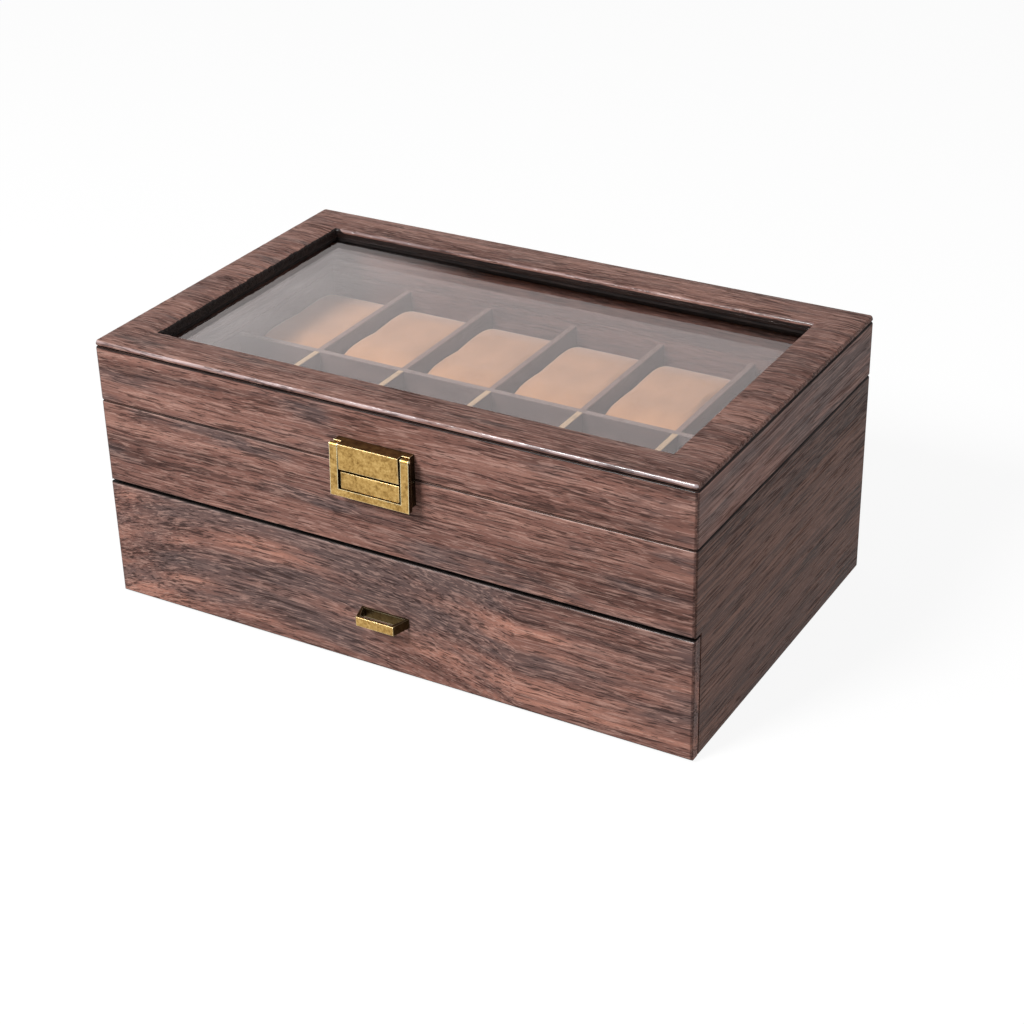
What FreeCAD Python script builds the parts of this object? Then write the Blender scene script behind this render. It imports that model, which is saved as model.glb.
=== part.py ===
"""Watch box with drawer: a wrapped case, a glazed lid on two hinges, a drop latch and one drawer.

Millimetres, +Z up, +X to the right, the front face towards -Y, the origin at the centre of the base.
"""

import FreeCAD
import Part

import math
import os

from FreeCAD import Rotation, Vector

# Overall sizes
BOX_WIDTH = 340.0
BOX_DEPTH = 210.0
BOX_HEIGHT = 150.0
WALL = 10.0
CORNER_ROUND = 2.0
EDGE_ROUND = 1.0

# Case, from the table up
FELT_THICKNESS = 1.0
FELT_INSET = 1.5
BASE_THICKNESS = 6.0
DECK_THICKNESS = 5.0
TRAY_LINING_THICKNESS = 1.5
LID_HEIGHT = 34.0
SEAM_GAP = 0.5

# Watch tray
COMPARTMENT_COUNT = 6
DIVIDER_THICKNESS = 3.0
DIVIDER_RECESS = 2.5
DIVIDER_SHIFT = 3.0
NOTCH_PLAY = 0.15

# Watch pillows
PILLOW_SIDE_GAP = 2.2
PILLOW_FRONT_GAP = 6.5
PILLOW_REAR_GAP = 4.0
PILLOW_FLOOR_GAP = 0.3
PILLOW_HEIGHT = 32.0
PILLOW_CORNER_SHARE = 0.36
PILLOW_CROWN = 0.8
PILLOW_END_INSET = 3.0
PILLOW_FULLNESS = 0.55
PILLOW_STATIONS = 4
PILLOW_CAP_ANGLE = 80.0

# Lid
RAIL_WIDTH = 24.0
RAIL_THICKNESS = 4.0
RAIL_EDGE_HEIGHT = 2.2
RAIL_GROOVE = 0.7
RAIL_OUTER_ROUND = 1.5
RAIL_LIP_ROUND = 1.9
RAIL_LIP_DROP = 2.0
RAIL_SHOULDER_DROP = 0.6
GLASS_FRAME_THICKNESS = 4.0
GLASS_FRAME_SETBACK = 1.0
GLASS_THICKNESS = 2.5
GLASS_EDGE_GAP = 0.3
BEAD_SIZE = 4.0

# Drawer
FACE_THICKNESS = 6.0
FACE_HEIGHT = 66.5
FACE_GROUND_GAP = 1.5
FACE_TOP_GAP = 1.5
FACE_BACK_GAP = 1.2
FACE_ROUND = 1.5
DRAWER_WALL = 6.0
DRAWER_SIDE_GAP = 1.0
DRAWER_LIFT = 0.3
DRAWER_REAR_GAP = 5.0
DRAWER_BOTTOM_THICKNESS = 3.0
DRAWER_TOP_GAP = 5.7
DRAWER_LINING_THICKNESS = 1.5
DRAWER_LINING_GAP = 0.3

# Drawer pull
PULL_BASE_WIDTH = 28.0
PULL_BAR_WIDTH = 22.0
PULL_REACH = 10.5
PULL_STRIP = 1.6
PULL_PLATE = 1.2
PULL_HEIGHT = 5.2
PULL_CENTRE_HEIGHT = 33.0

# Latch
LATCH_WIDTH = 45.0
LATCH_ABOVE_SEAM = 14.0
LATCH_BELOW_SEAM = 14.5
LATCH_PLATE_THICKNESS = 4.3
LATCH_PLATE_INSET = 1.0
KEEPER_PROUD = 0.6
LATCH_CLEARANCE = 0.3
LOOP_STILE = 4.5
LOOP_RAIL = 4.0
LOOP_PLAY = 0.75
LOOP_TOP_THICKNESS = 2.0
LOOP_BOTTOM_THICKNESS = 3.2
LATCH_KNUCKLE_RADIUS = 1.4
LATCH_PIN_RADIUS = 0.7
LATCH_PIN_COVER = 1.5
LATCH_PIN_END = 0.3
LATCH_AXIS_DROP = 1.8
METAL_ROUND = 0.35

# Hinges
HINGE_SPACING = 200.0
HINGE_WIDTH = 32.0
HINGE_LEAF_HEIGHT = 12.0
HINGE_LEAF_THICKNESS = 1.2
HINGE_KNUCKLE_RADIUS = 2.2
HINGE_PIN_RADIUS = 1.1
HINGE_STANDOFF = 0.3
HINGE_CLEARANCE = 0.3
HINGE_SCREW_SPACING = 18.0
PIN_PLAY = 0.05

# Screws
SCREW_RADIUS = 1.1
SCREW_HEAD_RADIUS = 2.1
SCREW_HEAD_HEIGHT = 1.1
SCREW_SLOT_WIDTH = 0.6
SCREW_SLOT_DEPTH = 0.4
HINGE_SCREW_LENGTH = 8.0
LATCH_SCREW_GRIP = 3.0
LATCH_SCREW_SPACING = 24.0
PULL_SCREW_GRIP = 0.9
PULL_SCREW_SPACING = 15.0

# Places worked out from the sizes
HALF_WIDTH = BOX_WIDTH / 2
HALF_DEPTH = BOX_DEPTH / 2
INNER_X = HALF_WIDTH - WALL
INNER_Y = HALF_DEPTH - WALL
FRONT_Y = -HALF_DEPTH
CASE_TOP = BOX_HEIGHT - LID_HEIGHT - SEAM_GAP
LID_BOTTOM = BOX_HEIGHT - LID_HEIGHT
SEAM_HEIGHT = CASE_TOP + SEAM_GAP / 2
BASE_TOP = FELT_THICKNESS + BASE_THICKNESS
FACE_TOP = FACE_GROUND_GAP + FACE_HEIGHT
FRONT_PANEL_BOTTOM = FACE_TOP + FACE_TOP_GAP
DRAWER_MOUTH_Y = FRONT_Y + FACE_THICKNESS + FACE_BACK_GAP
DECK_TOP = FRONT_PANEL_BOTTOM + DECK_THICKNESS
TRAY_FLOOR = DECK_TOP + TRAY_LINING_THICKNESS
DIVIDER_TOP = CASE_TOP - DIVIDER_RECESS
COMPARTMENT_WIDTH = (2 * INNER_X - (COMPARTMENT_COUNT - 1) * DIVIDER_THICKNESS) / COMPARTMENT_COUNT
COMPARTMENT_PITCH = COMPARTMENT_WIDTH + DIVIDER_THICKNESS
REAR_ROW_START = DIVIDER_SHIFT + DIVIDER_THICKNESS / 2
PILLOW_WIDTH = COMPARTMENT_WIDTH - 2 * PILLOW_SIDE_GAP
PILLOW_LENGTH = INNER_Y - REAR_ROW_START - PILLOW_FRONT_GAP - PILLOW_REAR_GAP
PILLOW_CORNER = PILLOW_CORNER_SHARE * PILLOW_HEIGHT
FRAME_BOTTOM = BOX_HEIGHT - RAIL_THICKNESS
GLASS_TOP = FRAME_BOTTOM - GLASS_FRAME_THICKNESS
GLASS_BOTTOM = GLASS_TOP - GLASS_THICKNESS
LATCH_TOP = SEAM_HEIGHT + LATCH_ABOVE_SEAM
LATCH_BOTTOM = SEAM_HEIGHT - LATCH_BELOW_SEAM
LATCH_AXIS_HEIGHT = LATCH_TOP - LATCH_AXIS_DROP
LATCH_AXIS_REACH = LATCH_PLATE_THICKNESS + LATCH_CLEARANCE + LATCH_KNUCKLE_RADIUS
LOOP_BACK_REACH = LATCH_PLATE_THICKNESS + KEEPER_PROUD + LATCH_CLEARANCE
HINGE_AXIS_Y = HALF_DEPTH + HINGE_STANDOFF + HINGE_KNUCKLE_RADIUS
HINGE_PLATE_START = HINGE_KNUCKLE_RADIUS + HINGE_CLEARANCE
DRAWER_HALF_WIDTH = INNER_X - DRAWER_SIDE_GAP
DRAWER_FLOOR = BASE_TOP + DRAWER_LIFT + DRAWER_BOTTOM_THICKNESS
DRAWER_TOP = FRONT_PANEL_BOTTOM - DRAWER_TOP_GAP
DRAWER_FRONT_Y = FRONT_Y + FACE_THICKNESS
DRAWER_REAR_Y = INNER_Y - DRAWER_REAR_GAP
LATCH_SCREW_LENGTH = WALL + LATCH_SCREW_GRIP
PULL_SCREW_LENGTH = DRAWER_WALL + FACE_THICKNESS + PULL_SCREW_GRIP

# How far the half side of each wall reaches, how far out it stands, and its turn about Z
WALLS = {
    "front": (HALF_WIDTH, HALF_DEPTH, 0),
    "right": (HALF_DEPTH, HALF_WIDTH, 90),
    "back": (HALF_WIDTH, HALF_DEPTH, 180),
    "left": (HALF_DEPTH, HALF_WIDTH, 270),
}

UP = Vector(0, 0, 1)
ALONG_X = Vector(1, 0, 0)
TO_FRONT = Vector(0, -1, 0)
DIAGONAL = math.sqrt(0.5)
TOUCHING = 1e-6


def block(x_low, x_high, y_low, y_high, z_low, z_high):
    """A box between two corners."""
    corner = Vector(x_low, y_low, z_low)
    return Part.makeBox(x_high - x_low, y_high - y_low, z_high - z_low, corner)


def front_block(half_width, z_low, z_high, near, far):
    """A box centred on the front face, between two distances out from it."""
    return block(-half_width, half_width, FRONT_Y - far, FRONT_Y - near, z_low, z_high)


def rod(radius, x_low, x_high, y, z):
    """A round rod along X."""
    return Part.makeCylinder(radius, x_high - x_low, Vector(x_low, y, z), ALONG_X)


def prism(points, direction):
    """A flat outline through the points, pushed along the direction."""
    return Part.Face(Part.makePolygon(points + points[:1])).extrude(direction)


def joined(shapes):
    """One solid from several that touch or overlap."""
    return shapes[0].fuse(shapes[1:]).removeSplitter()


def is_upright(edge):
    """Whether an edge runs straight up."""
    start, end = edge.Vertexes[0].Point, edge.Vertexes[-1].Point
    return math.hypot(start.x - end.x, start.y - end.y) < TOUCHING


def lies_at(edge, axis, value):
    """Whether both ends of an edge have the given coordinate."""
    return all(abs(getattr(vertex, axis) - value) < TOUCHING for vertex in edge.Vertexes)


def wrapped_block(bottom, top):
    """The whole footprint between two heights, with its outer edges rounded by the folded skin."""
    footprint = block(-HALF_WIDTH, HALF_WIDTH, -HALF_DEPTH, HALF_DEPTH, bottom, top)
    footprint = footprint.makeFillet(CORNER_ROUND, [e for e in footprint.Edges if is_upright(e)])
    rims = [e for e in footprint.Edges if lies_at(e, "Z", bottom) or lies_at(e, "Z", top)]
    return footprint.makeFillet(EDGE_ROUND, rims)


def mitred_prism(side, depth, bottom, top):
    """A strip along one side of the footprint, cut at 45 degrees where it meets its neighbours."""
    half_length, distance, turn = WALLS[side]
    outline = [
        Vector(-half_length, -distance, bottom),
        Vector(half_length, -distance, bottom),
        Vector(half_length - depth, depth - distance, bottom),
        Vector(depth - half_length, depth - distance, bottom),
    ]
    strip = prism(outline, Vector(0, 0, top - bottom))
    strip.rotate(Vector(), UP, turn)
    return strip


def screw_hole(head, direction, length):
    """The space of a countersunk screw whose flat head is at `head`."""
    cone = Part.makeCone(SCREW_HEAD_RADIUS, SCREW_RADIUS, SCREW_HEAD_HEIGHT, head, direction)
    return joined([cone, Part.makeCylinder(SCREW_RADIUS, length, head, direction)])


def screw(head, direction, length):
    """A countersunk screw with a straight slot across its head."""
    slot = block(-SCREW_HEAD_RADIUS, SCREW_HEAD_RADIUS, -SCREW_SLOT_WIDTH / 2, SCREW_SLOT_WIDTH / 2,
                 0, SCREW_SLOT_DEPTH)
    slot.Placement = FreeCAD.Placement(head, Rotation(UP, direction))
    return screw_hole(head, direction, length).cut(slot)


def pair(spacing, centre=0.0):
    """Two places, the spacing apart."""
    return [centre - spacing / 2, centre + spacing / 2]


def hinge_centres():
    """Where the two hinges stand along X."""
    return {"left": -HINGE_SPACING / 2, "right": HINGE_SPACING / 2}


def hinge_screw_heads(upward):
    """The flat heads of the screws in the leaves that point up, or in those that point down."""
    offset = HINGE_PLATE_START + HINGE_LEAF_HEIGHT / 2
    z = SEAM_HEIGHT + (offset if upward else -offset)
    y = HALF_DEPTH + HINGE_LEAF_THICKNESS
    return [Vector(x, y, z) for centre in hinge_centres().values()
            for x in pair(HINGE_SCREW_SPACING, centre)]


def latch_screw_heads(upward):
    """The flat heads, inside the wall, of the screws that hold one half of the latch."""
    middle = LATCH_ABOVE_SEAM / 2 if upward else -LATCH_BELOW_SEAM / 2
    return [Vector(x, -INNER_Y, SEAM_HEIGHT + middle) for x in pair(LATCH_SCREW_SPACING)]


def pull_screw_heads():
    """The flat heads, inside the drawer, of the screws that hold the pull."""
    y = DRAWER_FRONT_Y + DRAWER_WALL
    return [Vector(x, y, PULL_CENTRE_HEIGHT) for x in pair(PULL_SCREW_SPACING)]


def drilled(shape, heads, direction, length):
    """A shape with its screw holes cut."""
    return shape.cut([screw_hole(head, direction, length) for head in heads])


def case_walls():
    """The four walls round the tray and the drawer, mitred at their upright corners."""
    skin = wrapped_block(FELT_THICKNESS, CASE_TOP)
    front = wrapped_block(FRONT_PANEL_BOTTOM, CASE_TOP).common(
        mitred_prism("front", WALL, FRONT_PANEL_BOTTOM, CASE_TOP))
    back = skin.common(mitred_prism("back", WALL, FELT_THICKNESS, CASE_TOP))
    walls = {
        "case_front_panel": drilled(front, latch_screw_heads(False), TO_FRONT, LATCH_SCREW_LENGTH),
        "case_back_panel": drilled(back, hinge_screw_heads(False), TO_FRONT, HINGE_SCREW_LENGTH),
    }
    mouth = block(-BOX_WIDTH, BOX_WIDTH, -BOX_DEPTH, DRAWER_MOUTH_Y, 0, FRONT_PANEL_BOTTOM)
    for side, sign in (("left", -1), ("right", 1)):
        cheek = block(min(sign * INNER_X, sign * HALF_WIDTH), max(sign * INNER_X, sign * HALF_WIDTH),
                      DRAWER_MOUTH_Y, 0, FELT_THICKNESS, FRONT_PANEL_BOTTOM)
        strip = mitred_prism(side, WALL, FELT_THICKNESS, CASE_TOP).cut(mouth)
        walls["case_side_" + side] = skin.common(joined([strip, cheek])).removeSplitter()
    return walls


def case_boards():
    """The base, its felt, the deck over the drawer and the tray's lining."""
    return {
        "base_felt": block(FELT_INSET - HALF_WIDTH, HALF_WIDTH - FELT_INSET,
                           DRAWER_MOUTH_Y, HALF_DEPTH - FELT_INSET, 0, FELT_THICKNESS),
        "case_base": block(-INNER_X, INNER_X, DRAWER_MOUTH_Y, INNER_Y, FELT_THICKNESS, BASE_TOP),
        "tray_deck": block(-INNER_X, INNER_X, -INNER_Y, INNER_Y, FRONT_PANEL_BOTTOM, DECK_TOP),
        "tray_lining": block(-INNER_X, INNER_X, -INNER_Y, INNER_Y, DECK_TOP, TRAY_FLOOR),
    }


def divider_places():
    """Where the cross dividers stand along X."""
    first = -INNER_X + COMPARTMENT_PITCH - DIVIDER_THICKNESS / 2
    return [first + index * COMPARTMENT_PITCH for index in range(COMPARTMENT_COUNT - 1)]


def tray_dividers():
    """One long divider and the cross dividers, notched half and half where they cross."""
    half = DIVIDER_THICKNESS / 2
    notch = half + NOTCH_PLAY
    middle = (TRAY_FLOOR + DIVIDER_TOP) / 2
    centre = block(-INNER_X, INNER_X, DIVIDER_SHIFT - half, DIVIDER_SHIFT + half,
                   TRAY_FLOOR, DIVIDER_TOP)
    long_notch = block(-BOX_WIDTH, BOX_WIDTH, DIVIDER_SHIFT - notch, DIVIDER_SHIFT + notch,
                       middle, BOX_HEIGHT)
    dividers = {}
    for number, x in enumerate(divider_places(), start=1):
        centre = centre.cut(block(x - notch, x + notch, -BOX_DEPTH, BOX_DEPTH, 0, middle))
        cross = block(x - half, x + half, -INNER_Y, INNER_Y, TRAY_FLOOR, DIVIDER_TOP)
        dividers["cross_divider_%d" % number] = cross.cut(long_notch)
    dividers["centre_divider"] = centre
    return dividers


def pillow_outline(half_height, half_length, station):
    """A closed section of a pillow, with round corners and sides that bulge between them."""
    corner = PILLOW_CORNER
    bulge = corner * DIAGONAL
    edges = []
    for turn in range(4):
        halves = (half_height, half_length) if turn % 2 == 0 else (half_length, half_height)
        across, along = (half - PILLOW_CROWN for half in halves)
        along -= corner
        side = [Vector(across, -along, station), Vector(across + PILLOW_CROWN, 0, station),
                Vector(across, along, station)]
        bend = [Vector(across, along, station),
                Vector(across - corner + bulge, along + bulge, station),
                Vector(across - corner, along + corner, station)]
        for points in (side, bend):
            arc = Part.Arc(*points).toShape()
            arc.rotate(Vector(), UP, 90 * turn)
            edges.append(arc)
    return Part.Wire(edges)


def pillow(x, y, bottom):
    """A soft roll that lies between two dividers, a little smaller towards its two ends."""
    cap = math.radians(PILLOW_CAP_ANGLE)
    half_width = PILLOW_WIDTH / 2
    sections = []
    for step in range(-PILLOW_STATIONS, PILLOW_STATIONS + 1):
        angle = cap * step / PILLOW_STATIONS
        reach = abs(math.sin(angle) / math.sin(cap)) ** PILLOW_FULLNESS * half_width
        inset = PILLOW_END_INSET * (1 - math.cos(angle))
        sections.append(pillow_outline(PILLOW_HEIGHT / 2 - inset, PILLOW_LENGTH / 2 - inset,
                                       math.copysign(reach, angle)))
    roll = Part.makeLoft(sections, True, False)
    roll.rotate(Vector(), Vector(0, 1, 0), 90)
    roll.translate(Vector(x, y, bottom + PILLOW_HEIGHT / 2))
    return roll


def watch_pillows():
    """The six pillows in the rear row."""
    y = INNER_Y - PILLOW_REAR_GAP - PILLOW_LENGTH / 2
    pillows = {}
    for index in range(COMPARTMENT_COUNT):
        x = -INNER_X + COMPARTMENT_WIDTH / 2 + index * COMPARTMENT_PITCH
        pillows["watch_pillow_%d" % (index + 1)] = pillow(x, y, TRAY_FLOOR + PILLOW_FLOOR_GAP)
    return pillows


def lid_walls():
    """The four walls of the lid, mitred at their corners."""
    skin = wrapped_block(LID_BOTTOM, FRAME_BOTTOM)
    walls = {"lid_%s_wall" % side: skin.common(mitred_prism(side, WALL, LID_BOTTOM, FRAME_BOTTOM))
             for side in WALLS}
    walls["lid_front_wall"] = drilled(walls["lid_front_wall"], latch_screw_heads(True),
                                      TO_FRONT, LATCH_SCREW_LENGTH)
    walls["lid_back_wall"] = drilled(walls["lid_back_wall"], hinge_screw_heads(True),
                                     TO_FRONT, HINGE_SCREW_LENGTH)
    return walls


def rail_section(distance):
    """The padded rail's section: a thin outer edge, a soft crown and a lip turned down to the glass."""
    def point(inward, height):
        return Vector(0, inward - distance, FRAME_BOTTOM + height)

    crown_top = RAIL_THICKNESS
    shoulder = RAIL_THICKNESS - RAIL_SHOULDER_DROP
    lip_bend = RAIL_LIP_ROUND * (1 - DIAGONAL)
    outer_rise = shoulder - RAIL_EDGE_HEIGHT
    start = point(RAIL_GROOVE, 0)
    edge_foot = point(0, RAIL_GROOVE)
    edge_top = point(0, RAIL_EDGE_HEIGHT)
    outer_shoulder = point(RAIL_OUTER_ROUND, shoulder)
    inner_shoulder = point(RAIL_WIDTH - RAIL_LIP_ROUND, shoulder)
    lip_foot = point(RAIL_WIDTH, shoulder - RAIL_LIP_ROUND)
    outer_mid = point(RAIL_OUTER_ROUND * (1 - DIAGONAL),
                      RAIL_EDGE_HEIGHT + outer_rise * DIAGONAL)
    lip_mid = point(RAIL_WIDTH - lip_bend, shoulder - lip_bend)
    hem = RAIL_WIDTH - GLASS_FRAME_SETBACK
    lip_end = point(RAIL_WIDTH, -RAIL_LIP_DROP)
    hem_end = point(hem, -RAIL_LIP_DROP)
    hem_top = point(hem, 0)
    edges = [
        Part.LineSegment(start, edge_foot),
        Part.LineSegment(edge_foot, edge_top),
        Part.Arc(edge_top, outer_mid, outer_shoulder),
        Part.Arc(outer_shoulder, point(RAIL_WIDTH / 2, crown_top), inner_shoulder),
        Part.Arc(inner_shoulder, lip_mid, lip_foot),
        Part.LineSegment(lip_foot, lip_end),
        Part.LineSegment(lip_end, hem_end),
        Part.LineSegment(hem_end, hem_top),
        Part.LineSegment(hem_top, start),
    ]
    return Part.Face(Part.Wire([edge.toShape() for edge in edges]))


def top_frame():
    """The padded frame over the lid, one ring with mitred corners."""
    bottom = FRAME_BOTTOM - RAIL_LIP_DROP
    rails = []
    for side, (half_length, distance, turn) in WALLS.items():
        section = rail_section(distance)
        section.translate(Vector(-half_length, 0, 0))
        rail = section.extrude(Vector(2 * half_length, 0, 0))
        rail.rotate(Vector(), UP, turn)
        rails.append(rail.common(mitred_prism(side, RAIL_WIDTH, bottom, BOX_HEIGHT)))
    ring = joined(rails)
    corners = block(-HALF_WIDTH, HALF_WIDTH, -HALF_DEPTH, HALF_DEPTH, bottom, BOX_HEIGHT)
    corners = corners.makeFillet(CORNER_ROUND, [e for e in corners.Edges if is_upright(e)])
    return ring.common(corners)


def glazing():
    """The dark inner frame, the glass under it and the four beads that hold the glass."""
    opening_x = HALF_WIDTH - RAIL_WIDTH + GLASS_FRAME_SETBACK
    opening_y = HALF_DEPTH - RAIL_WIDTH + GLASS_FRAME_SETBACK
    frame = block(-INNER_X, INNER_X, -INNER_Y, INNER_Y, GLASS_TOP, FRAME_BOTTOM)
    frame = frame.cut(block(-opening_x, opening_x, -opening_y, opening_y, 0, BOX_HEIGHT))
    pane_x = INNER_X - GLASS_EDGE_GAP
    pane_y = INNER_Y - GLASS_EDGE_GAP
    pieces = {
        "glass_frame": frame,
        "glass_pane": block(-pane_x, pane_x, -pane_y, pane_y, GLASS_BOTTOM, GLASS_TOP),
    }
    low = GLASS_BOTTOM - BEAD_SIZE
    for side, y_outer, y_inner in (("front", -INNER_Y, BEAD_SIZE - INNER_Y),
                                   ("back", INNER_Y - BEAD_SIZE, INNER_Y)):
        pieces["glass_bead_" + side] = block(-INNER_X, INNER_X, y_outer, y_inner, low, GLASS_BOTTOM)
    end = INNER_Y - BEAD_SIZE
    for side, x_outer, x_inner in (("left", -INNER_X, BEAD_SIZE - INNER_X),
                                   ("right", INNER_X - BEAD_SIZE, INNER_X)):
        pieces["glass_bead_" + side] = block(x_outer, x_inner, -end, end, low, GLASS_BOTTOM)
    return pieces


def softened(shape, axis, value):
    """A metal block with the edges of one face rounded."""
    return shape.makeFillet(METAL_ROUND, [e for e in shape.Edges if lies_at(e, axis, value)])


def latch_half(bottom, top, plate_bottom, plate_top, plate_reach):
    """One half of the latch: a back plate on the wall with a raised plate in its middle."""
    plate_half = LATCH_WIDTH / 2 - LOOP_STILE - LOOP_PLAY
    back_half = LATCH_WIDTH / 2 - LATCH_PLATE_INSET
    back = front_block(back_half, bottom, top, 0, LATCH_PLATE_THICKNESS)
    back = softened(back, "Y", FRONT_Y - LATCH_PLATE_THICKNESS)
    plate = front_block(plate_half, plate_bottom, plate_top, 0, plate_reach)
    plate = softened(plate, "Y", FRONT_Y - plate_reach)
    return joined([back, plate])


def latch():
    """The drop latch: upper plate on the lid, keeper on the case, and the loop on its pin."""
    axis_y = FRONT_Y - LATCH_AXIS_REACH
    half = LATCH_WIDTH / 2
    window_half = half - LOOP_STILE
    pin_half = half + LATCH_PIN_END
    upper = latch_half(LID_BOTTOM, LATCH_TOP, LID_BOTTOM, LATCH_TOP,
                       LATCH_AXIS_REACH + LATCH_PIN_RADIUS + LATCH_PIN_COVER)
    upper = upper.cut(rod(LATCH_PIN_RADIUS, -pin_half, pin_half, axis_y, LATCH_AXIS_HEIGHT))
    keeper = latch_half(LATCH_BOTTOM + LATCH_PLATE_INSET, CASE_TOP,
                        LATCH_BOTTOM + LOOP_RAIL + LOOP_PLAY, CASE_TOP,
                        LATCH_PLATE_THICKNESS + KEEPER_PROUD)
    back = FRONT_Y - LOOP_BACK_REACH
    profile = [
        Vector(-half, back, LATCH_BOTTOM),
        Vector(-half, back, LATCH_AXIS_HEIGHT),
        Vector(-half, back - LOOP_TOP_THICKNESS, LATCH_AXIS_HEIGHT),
        Vector(-half, back - LOOP_BOTTOM_THICKNESS, LATCH_BOTTOM),
    ]
    plate = prism(profile, Vector(LATCH_WIDTH, 0, 0))
    plate = softened(plate, "Z", LATCH_BOTTOM)
    window = front_block(window_half, LATCH_BOTTOM + LOOP_RAIL, BOX_HEIGHT, 0, BOX_DEPTH)
    knuckles = rod(LATCH_KNUCKLE_RADIUS, -half, half, axis_y, LATCH_AXIS_HEIGHT)
    loop = joined([plate, knuckles]).cut(window)
    loop = loop.cut(rod(LATCH_PIN_RADIUS + PIN_PLAY, -pin_half, pin_half, axis_y, LATCH_AXIS_HEIGHT))
    return {
        "latch_upper_plate": drilled(upper, latch_screw_heads(True), TO_FRONT, LATCH_SCREW_LENGTH),
        "latch_keeper": drilled(keeper, latch_screw_heads(False), TO_FRONT, LATCH_SCREW_LENGTH),
        "latch_loop": loop,
        "latch_pin": rod(LATCH_PIN_RADIUS, -pin_half, pin_half, axis_y, LATCH_AXIS_HEIGHT),
        "latch_screws_lid": Part.makeCompound(
            [screw(head, TO_FRONT, LATCH_SCREW_LENGTH) for head in latch_screw_heads(True)]),
        "latch_screws_case": Part.makeCompound(
            [screw(head, TO_FRONT, LATCH_SCREW_LENGTH) for head in latch_screw_heads(False)]),
    }


def hinge_leaf(centre, upward):
    """A butt hinge's leaf: a flat plate whose own knuckles close round the pin."""
    segment = HINGE_WIDTH / 3
    left = centre - HINGE_WIDTH / 2
    own = [1] if upward else [0, 2]
    sign = 1 if upward else -1
    plate_ends = sorted([SEAM_HEIGHT + sign * HINGE_PLATE_START,
                         SEAM_HEIGHT + sign * (HINGE_PLATE_START + HINGE_LEAF_HEIGHT)])
    web_ends = sorted([SEAM_HEIGHT, SEAM_HEIGHT + sign * HINGE_PLATE_START])
    y_out = HALF_DEPTH + HINGE_LEAF_THICKNESS
    parts = [block(left, left + HINGE_WIDTH, HALF_DEPTH, y_out, *plate_ends)]
    for index in own:
        low = left + index * segment + (HINGE_CLEARANCE / 2 if index else 0)
        high = left + (index + 1) * segment - (HINGE_CLEARANCE / 2 if index < 2 else 0)
        parts.append(block(low, high, HALF_DEPTH, y_out, *web_ends))
        parts.append(rod(HINGE_KNUCKLE_RADIUS, low, high, HINGE_AXIS_Y, SEAM_HEIGHT))
    bore = HINGE_PIN_RADIUS + (PIN_PLAY if upward else 0)
    leaf = joined(parts).cut(rod(bore, left, left + HINGE_WIDTH, HINGE_AXIS_Y, SEAM_HEIGHT))
    return drilled(leaf, hinge_screw_heads(upward), TO_FRONT, HINGE_SCREW_LENGTH)


def hinges():
    """Two brass butt hinges on the back, with their pins and screws."""
    pieces = {}
    for name, centre in hinge_centres().items():
        pieces["hinge_leaf_lid_" + name] = hinge_leaf(centre, True)
        pieces["hinge_leaf_case_" + name] = hinge_leaf(centre, False)
        pieces["hinge_pin_" + name] = rod(HINGE_PIN_RADIUS, centre - HINGE_WIDTH / 2,
                                          centre + HINGE_WIDTH / 2, HINGE_AXIS_Y, SEAM_HEIGHT)
    for name, upward in (("lid", True), ("case", False)):
        pieces["hinge_screws_" + name] = Part.makeCompound(
            [screw(head, TO_FRONT, HINGE_SCREW_LENGTH) for head in hinge_screw_heads(upward)])
    return pieces


def drawer_box():
    """The drawer: a face over a plain tray of boards, lined on its floor."""
    x = DRAWER_HALF_WIDTH
    floor = DRAWER_FLOOR
    top = DRAWER_TOP
    front, rear = DRAWER_FRONT_Y, DRAWER_REAR_Y
    face = block(-HALF_WIDTH, HALF_WIDTH, FRONT_Y, front, FACE_GROUND_GAP, FACE_TOP)
    face = face.makeFillet(FACE_ROUND, [e for e in face.Edges if lies_at(e, "Y", FRONT_Y)])
    inner_front = block(-x, x, front, front + DRAWER_WALL, floor, top)
    lining_x = x - DRAWER_WALL - DRAWER_LINING_GAP
    return {
        "drawer_face": drilled(face, pull_screw_heads(), TO_FRONT, PULL_SCREW_LENGTH),
        "drawer_inner_front": drilled(inner_front, pull_screw_heads(), TO_FRONT, PULL_SCREW_LENGTH),
        "drawer_back": block(-x, x, rear - DRAWER_WALL, rear, floor, top),
        "drawer_side_left": block(-x, DRAWER_WALL - x, front + DRAWER_WALL, rear - DRAWER_WALL,
                                  floor, top),
        "drawer_side_right": block(x - DRAWER_WALL, x, front + DRAWER_WALL, rear - DRAWER_WALL,
                                   floor, top),
        "drawer_bottom": block(-x, x, front, rear, BASE_TOP + DRAWER_LIFT, floor),
        "drawer_lining": block(-lining_x, lining_x, front + DRAWER_WALL + DRAWER_LINING_GAP,
                               rear - DRAWER_WALL - DRAWER_LINING_GAP,
                               floor, floor + DRAWER_LINING_THICKNESS),
        "pull_screws": Part.makeCompound(
            [screw(head, TO_FRONT, PULL_SCREW_LENGTH) for head in pull_screw_heads()]),
    }


def pull_outline(spread, near, far, z):
    """The pull's plan, narrower at its bar than at the wall; `spread` moves its sides in."""
    base = PULL_BASE_WIDTH / 2 - spread
    bar = PULL_BAR_WIDTH / 2 - spread
    return [
        Vector(-base, FRONT_Y - near, z),
        Vector(base, FRONT_Y - near, z),
        Vector(bar, FRONT_Y - far, z),
        Vector(-bar, FRONT_Y - far, z),
    ]


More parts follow.
